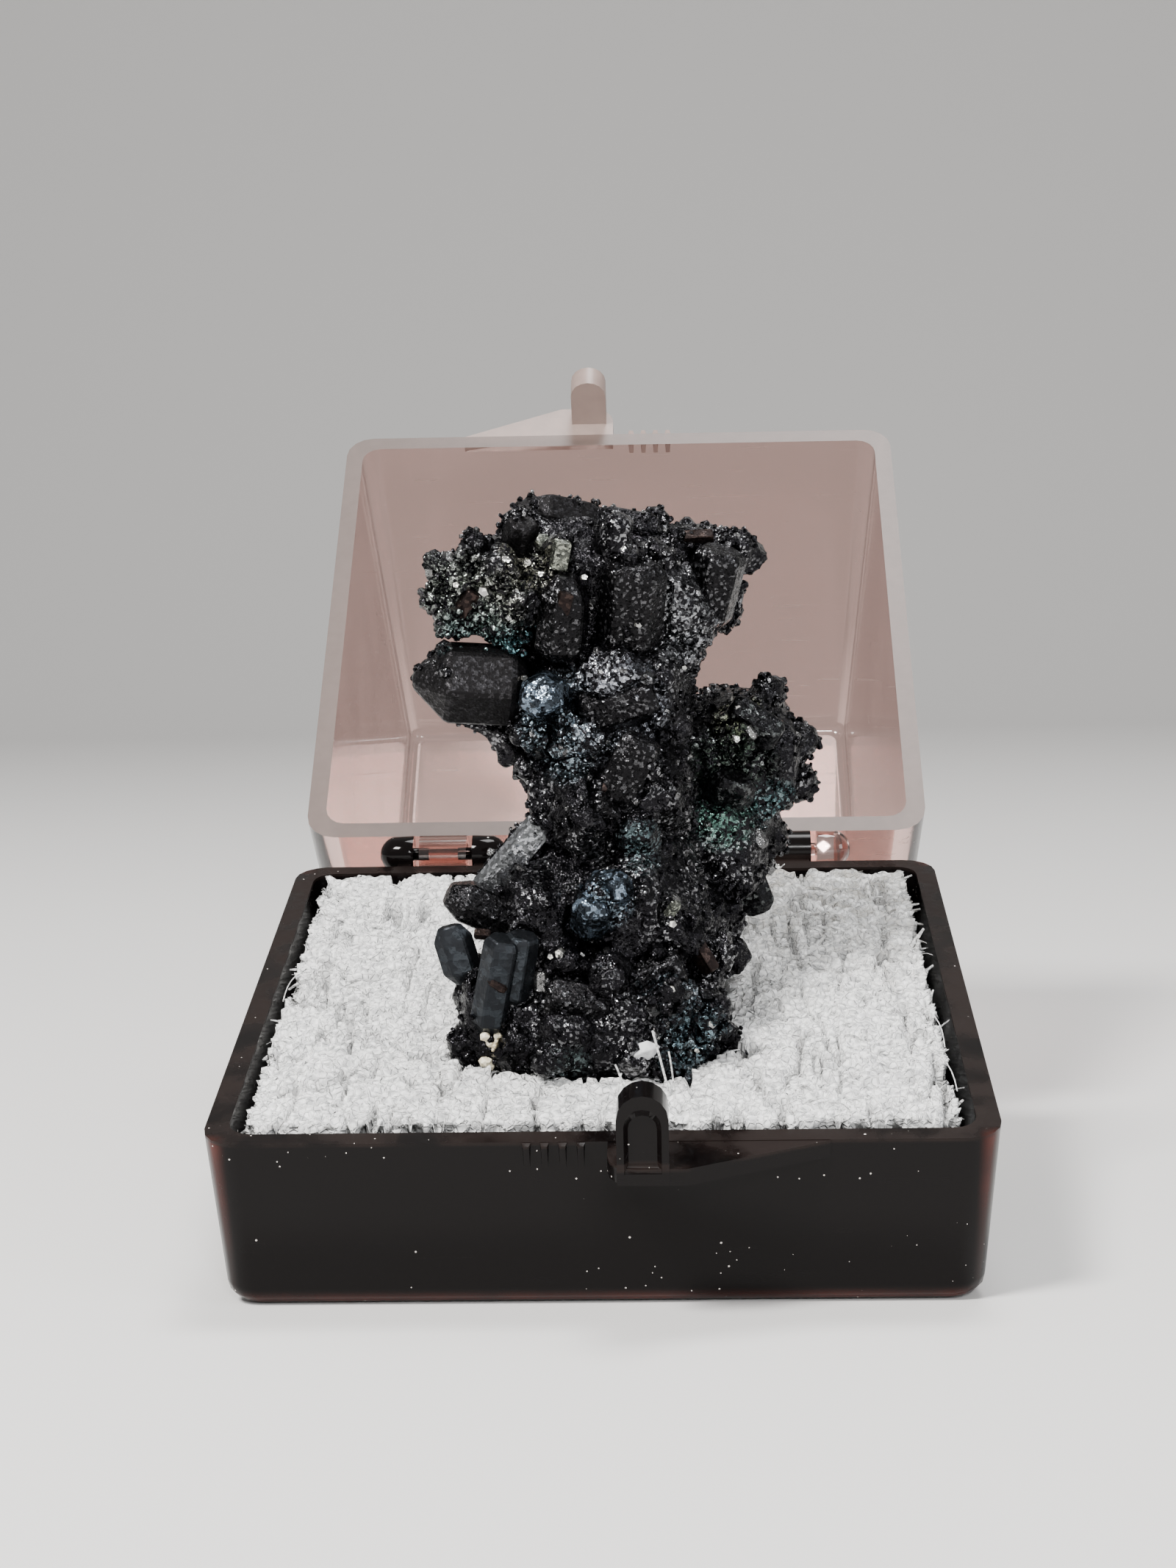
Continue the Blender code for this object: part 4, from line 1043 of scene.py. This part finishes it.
class SPECIMEN_OT_slivers(bpy.types.Operator):
    """Scatter the torn slivers and threads that stand on the foam"""
    bl_idname = "specimen.slivers"
    bl_label = "Foam Slivers"

    def execute(self, context):
        sizes = context.scene.specimen_sizes
        home = self.strips(context)
        guide = bpy.data.objects["foam_insert"]
        piece = bpy.data.objects.new("foam_slivers", guide.data.copy())
        context.scene.collection.objects.link(piece)
        piece.data.transform(BOX.inverted())
        tree, surface = geometry_tree("foam slivers")
        top = math_node(tree, "GREATER_THAN", split_axes(tree, point_place(tree))["Z"], FOAM_TOP - 0.5 * MM)
        spread = node(tree, "GeometryNodeDistributePointsOnFaces",
                      {"Mesh": surface, "Selection": top, "Density": 1.0 / MM ** 2, "Seed": SLIVER_SEED},
                      distribute_method="RANDOM").outputs["Points"]
        heading = random_vector(tree, (0.4, -0.8, -0.1), (1.0, 0.8, 0.55), SLIVER_SEED + 1)
        aimed = node(tree, "FunctionNodeAlignRotationToVector", {"Vector": heading}, axis="Z").outputs[0]
        angle = random_value(tree, -0.9, 0.9, SLIVER_SEED + 2)
        spin = node(tree, "ShaderNodeCombineXYZ", {"Z": angle}).outputs[0]
        length = random_size(tree, 0.45 * sizes.sliver, 1.9 * sizes.sliver, 3.0, SLIVER_SEED + 3)
        slivers = random_shapes(tree, spread, home, turned(tree, aimed, spin), length, 0)
        run_tree(piece, tree, realized(tree, slivers))
        settle(piece)
        finish_piece(piece, foam_material(context.scene.specimen_colours.foam), "base", "white_foam")
        remove_helpers(home)
        return {"FINISHED"}

    def strips(self, context):
        """Three thin strips, each more curled than the last."""
        home = bpy.data.collections.new("sliver shapes")
        context.scene.collection.children.link(home)
        for index, curl in enumerate((0.2, 0.6, 1.2)):
            bpy.ops.object.select_all(action="DESELECT")
            bpy.ops.mesh.primitive_cylinder_add(vertices=4, radius=0.07, depth=1.0)
            shape = bpy.context.object
            shape.name = "sliver_%d" % index
            edit_all(shape)
            bpy.ops.transform.resize(value=(1.0, 0.25, 1.0))
            for height in (-0.25, 0.0, 0.25):
                bpy.ops.mesh.select_all(action="SELECT")
                bpy.ops.mesh.bisect(plane_co=(0, 0, height), plane_no=(0, 0, 1))
            bpy.ops.object.mode_set(mode="OBJECT")
            for point in shape.data.vertices:
                point.co.y += curl * (0.25 - point.co.z ** 2) * 0.6
                point.co.x *= 1.0 - 0.9 * abs(point.co.z)
            move_home(shape, home)
        return home


class SPECIMEN_OT_threads(bpy.types.Operator):
    """Lay the loose threads before the foot and at the edge of the foam"""
    bl_idname = "specimen.threads"
    bl_label = "Loose Threads"

    def execute(self, context):
        threads = []
        for start, middle, end, width in THREADS:
            bpy.ops.object.select_all(action="DESELECT")
            bpy.ops.curve.primitive_bezier_curve_add()
            thread = bpy.context.object
            line = thread.data.splines[0].bezier_points
            for point, spot in zip(line, (start, end)):
                point.co = from_rim(spot)
                pulled = point.co.lerp(from_rim(middle), 0.7)
                point.handle_left_type = point.handle_right_type = "FREE"
                point.handle_left = point.handle_right = pulled
            thread.data.resolution_u = 8
            thread.data.bevel_depth = width * MM / 2
            thread.data.bevel_resolution = 1
            thread.data.use_fill_caps = True
            bpy.ops.object.convert(target="MESH")
            threads.append(bpy.context.object)
        foam = foam_material(context.scene.specimen_colours.foam)
        set_down(threads, "loose_threads", foam, "white_foam")
        return {"FINISHED"}


class SPECIMEN_OT_standing(bpy.types.Operator):
    """Set the crystals that stand clear of the crust"""
    bl_idname = "specimen.standing"
    bl_label = "Standing Crystals"

    def execute(self, context):
        for name, (finish, rows) in STANDING.items():
            crystals = [standing_crystal(*row) for row in rows]
            set_down(crystals, name, crystal_material(finish), "black_crystal")
        return {"FINISHED"}


class SPECIMEN_OT_cluster(bpy.types.Operator):
    """Make the cluster's body: intergrown blocks fused into one rough mass"""
    bl_idname = "specimen.cluster"
    bl_label = "Cluster Body"

    def execute(self, context):
        sizes = context.scene.specimen_sizes
        home = crystal_shapes()
        guard = standing_guard()
        piece = upright_cluster("cluster_body")
        tree, surface = geometry_tree("intergrown blocks")
        clear = math_node(tree, "GREATER_THAN", distance_from(tree, guard), 0.55 * MM)
        across = split_axes(tree, point_place(tree))["X"]
        clear = math_node(tree, "MULTIPLY", clear, math_node(tree, "LESS_THAN", across, 7.0 * MM))
        blocks = scattered(tree, surface, home, BLOCK_SEED, sizes.block, clear, 0.8 * MM, 1.6 * MM,
                           1.2, 0.56, 0.8)
        both = node(tree, "GeometryNodeJoinGeometry")
        for part in (surface, realized(tree, blocks)):
            tree.links.new(part, both.inputs[0])
        run_tree(piece, tree, both.outputs[0])
        fused = piece.modifiers.new("fused", "REMESH")
        fused.mode = "VOXEL"
        fused.voxel_size = sizes.skin
        apply_modifiers(piece)
        self.roughen(piece, guard)
        remove_helpers(home, guard)
        tarnish(piece)
        settle(piece)
        finish_piece(piece, crystal_material("druse"), "base", "black_crystal", "gaudefroyite_cluster")
        return {"FINISHED"}

    def roughen(self, piece, guard):
        """Break the fused faces up into grains: coarse in the druse, fine elsewhere."""
        tree, surface = geometry_tree("rough skin")
        place = point_place(tree)
        coarse = voronoi(tree, place, 1 / (0.62 * MM))["Distance"]
        small = voronoi(tree, place, 1 / (0.34 * MM), distance="CHEBYCHEV")["Distance"]
        grown = math_node(tree, "MULTIPLY", near_spots(tree, place, DRUSE), -0.26 * MM)
        rise = math_node(tree, "MULTIPLY_ADD", small, -0.07 * MM, math_node(tree, "MULTIPLY", coarse, grown))
        beside = remap(tree, distance_from(tree, guard), 0.1 * MM, 0.4 * MM, -0.22 * MM, 0.0)
        run_tree(piece, tree, raised(tree, surface, math_node(tree, "ADD", rise, beside)))


def tarnish(piece):
    """Store the colour and strength of the tarnish on an upright piece's points."""
    stored = piece.data.color_attributes.new("tarnish", "FLOAT_COLOR", "POINT")
    rng = random.Random(9)
    spots = [(from_rim(centre), radius * MM, colour, strength)
             for centre, radius, colour, strength in TARNISH]
    for point, value in zip(piece.data.vertices, stored.data):
        total, mixed = 0.0, Vector((0, 0, 0))
        for centre, radius, colour, strength in spots:
            near = 1.0 - (point.co - centre).length / radius
            if near > 0:
                share = strength * min(1.0, 1.8 * near)
                mixed += Vector(colour) * share
                total += share
        if total:
            value.color = (*(mixed / total), min(1.0, total) * rng.uniform(0.6, 1.0))
        else:
            value.color = (0.2, 0.3, 0.3, 0.0)


class SPECIMEN_OT_crust(bpy.types.Operator):
    """Grow the crust of small crystals over the cluster, thick on the druse and thin elsewhere"""
    bl_idname = "specimen.crust"
    bl_label = "Crust"

    def execute(self, context):
        sizes = context.scene.specimen_sizes
        home = crystal_shapes()
        guard = standing_guard()
        # name, seed, then spacing, least size and greatest size over the grain, and density elsewhere
        for name, seed, apart, low, high, thin in (("coarse_grains", COARSE_SEED, 1.5, 1.2, 2.6, 0.06),
                                                   ("fine_grains", FINE_SEED, 1.0, 0.6, 1.25, 0.42)):
            piece = upright_cluster(name)
            tree, surface = geometry_tree(name)
            grown = near_spots(tree, point_place(tree), DRUSE)
            density = math_node(tree, "MULTIPLY_ADD", grown, 1.0 - thin, thin)
            clear = math_node(tree, "GREATER_THAN", distance_from(tree, guard), 0.22 * MM)
            density = math_node(tree, "MULTIPLY", density, clear)
            grains = scattered(tree, surface, home, seed, apart * sizes.grain, density, low * sizes.grain,
                               high * sizes.grain, 1.6, 0.12, 1.2)
            shade = random_value(tree, 0.0, 1.0, seed + 4)
            run_tree(piece, tree, realized(tree, stored_value(tree, grains, "shade", shade, "INSTANCE")))
            tarnish(piece)
            settle(piece)
            finish_piece(piece, crystal_material("druse"), "base", "black_crystal")
        remove_helpers(home, guard)
        return {"FINISHED"}


class SPECIMEN_OT_glints(bpy.types.Operator):
    """Set the grains painted bright silver, as glints of mirrored light"""
    bl_idname = "specimen.glints"
    bl_label = "Bright Grains"

    def execute(self, context):
        rng = random.Random(2)
        grains = []
        for centre, width in GLINTS:
            bpy.ops.object.select_all(action="DESELECT")
            bpy.ops.mesh.primitive_cylinder_add(vertices=5, radius=0.42 * width * MM, depth=0.5 * width * MM)
            grain = bpy.context.object
            grain.scale = (1.0, rng.uniform(0.55, 1.0), 1.0)
            grain.location = from_rim(centre)
            grain.rotation_euler = (1.35 + rng.uniform(-0.3, 0.3), rng.uniform(0, 1), rng.uniform(-0.4, 0.4))
            grains.append(grain)
        # The grains' bright silver is a painted glint
        set_down(grains, "glints", crystal_material("glint"), "black_crystal")
        return {"FINISHED"}


class SPECIMEN_OT_grains(bpy.types.Operator):
    """Set the cream grains and the white chip at the foot of the cluster"""
    bl_idname = "specimen.grains"
    bl_label = "Pale Grains"

    def execute(self, context):
        rng = random.Random(5)
        grains = []
        for _ in range(26):
            bpy.ops.object.select_all(action="DESELECT")
            bpy.ops.mesh.primitive_ico_sphere_add(subdivisions=1, radius=rng.uniform(0.14, 0.26) * MM)
            grain = bpy.context.object
            grain.location = from_rim((-4.7 + rng.uniform(-0.45, 0.45), -8.6 + rng.uniform(-0.1, 0.15),
                                       0.75 + rng.uniform(-0.7, 0.7)))
            grain.rotation_euler = (rng.uniform(0, 3), rng.uniform(0, 3), rng.uniform(0, 3))
            grain.scale = (1.0, rng.uniform(0.6, 1.0), rng.uniform(0.7, 1.2))
            grains.append(grain)
        cream = grain_stone("cream grains", (0.62, 0.53, 0.36), (0.78, 0.72, 0.56))
        set_down(grains, "cream_grains", cream, "black_crystal")
        chip = standing_crystal((1.75, -10.45, 1.5), (1, 0.1, 0.3), 1.3, 0.85, 0.6, 10, 4, (0.2, 0.5),
                                (0.3, 0.15))
        white = grain_stone("white chip", (0.42, 0.42, 0.43), (0.62, 0.62, 0.63))
        set_down([chip], "white_chip", white, "black_crystal")
        return {"FINISHED"}


class SPECIMEN_PT_panel(bpy.types.Panel):
    """Lists the specimen's operators, sizes and colours"""
    bl_label = "Boxed Specimen"
    bl_idname = "SPECIMEN_PT_panel"
    bl_space_type = "VIEW_3D"
    bl_region_type = "UI"
    bl_category = "Specimen"

    def draw(self, context):
        for group in (context.scene.specimen_sizes, context.scene.specimen_colours):
            for name in group.bl_rna.properties.keys():
                if name not in {"rna_type", "name"}:
                    self.layout.prop(group, name)
        for operator in OPERATORS:
            self.layout.operator(operator.bl_idname)


OPERATORS = (SPECIMEN_OT_stage, SPECIMEN_OT_base, SPECIMEN_OT_lid, SPECIMEN_OT_foam, SPECIMEN_OT_slivers,
             SPECIMEN_OT_threads, SPECIMEN_OT_standing, SPECIMEN_OT_cluster, SPECIMEN_OT_crust,
             SPECIMEN_OT_glints, SPECIMEN_OT_grains)
CLASSES = (SpecimenSizes, SpecimenColours, *OPERATORS, SPECIMEN_PT_panel)


def register():
    for item in CLASSES:
        bpy.utils.register_class(item)
    bpy.types.Scene.specimen_sizes = bpy.props.PointerProperty(type=SpecimenSizes)
    bpy.types.Scene.specimen_colours = bpy.props.PointerProperty(type=SpecimenColours)


def unregister():
    del bpy.types.Scene.specimen_colours
    del bpy.types.Scene.specimen_sizes
    for item in reversed(CLASSES):
        bpy.utils.unregister_class(item)


def main():
    register()
    bpy.ops.specimen.stage()
    bpy.ops.specimen.base()
    bpy.ops.specimen.lid()
    bpy.ops.specimen.foam()
    bpy.ops.specimen.slivers()
    bpy.ops.specimen.threads()
    bpy.ops.specimen.standing()
    bpy.ops.specimen.cluster()
    bpy.ops.specimen.crust()
    bpy.ops.specimen.glints()
    bpy.ops.specimen.grains()


if __name__ == "__main__":
    main()
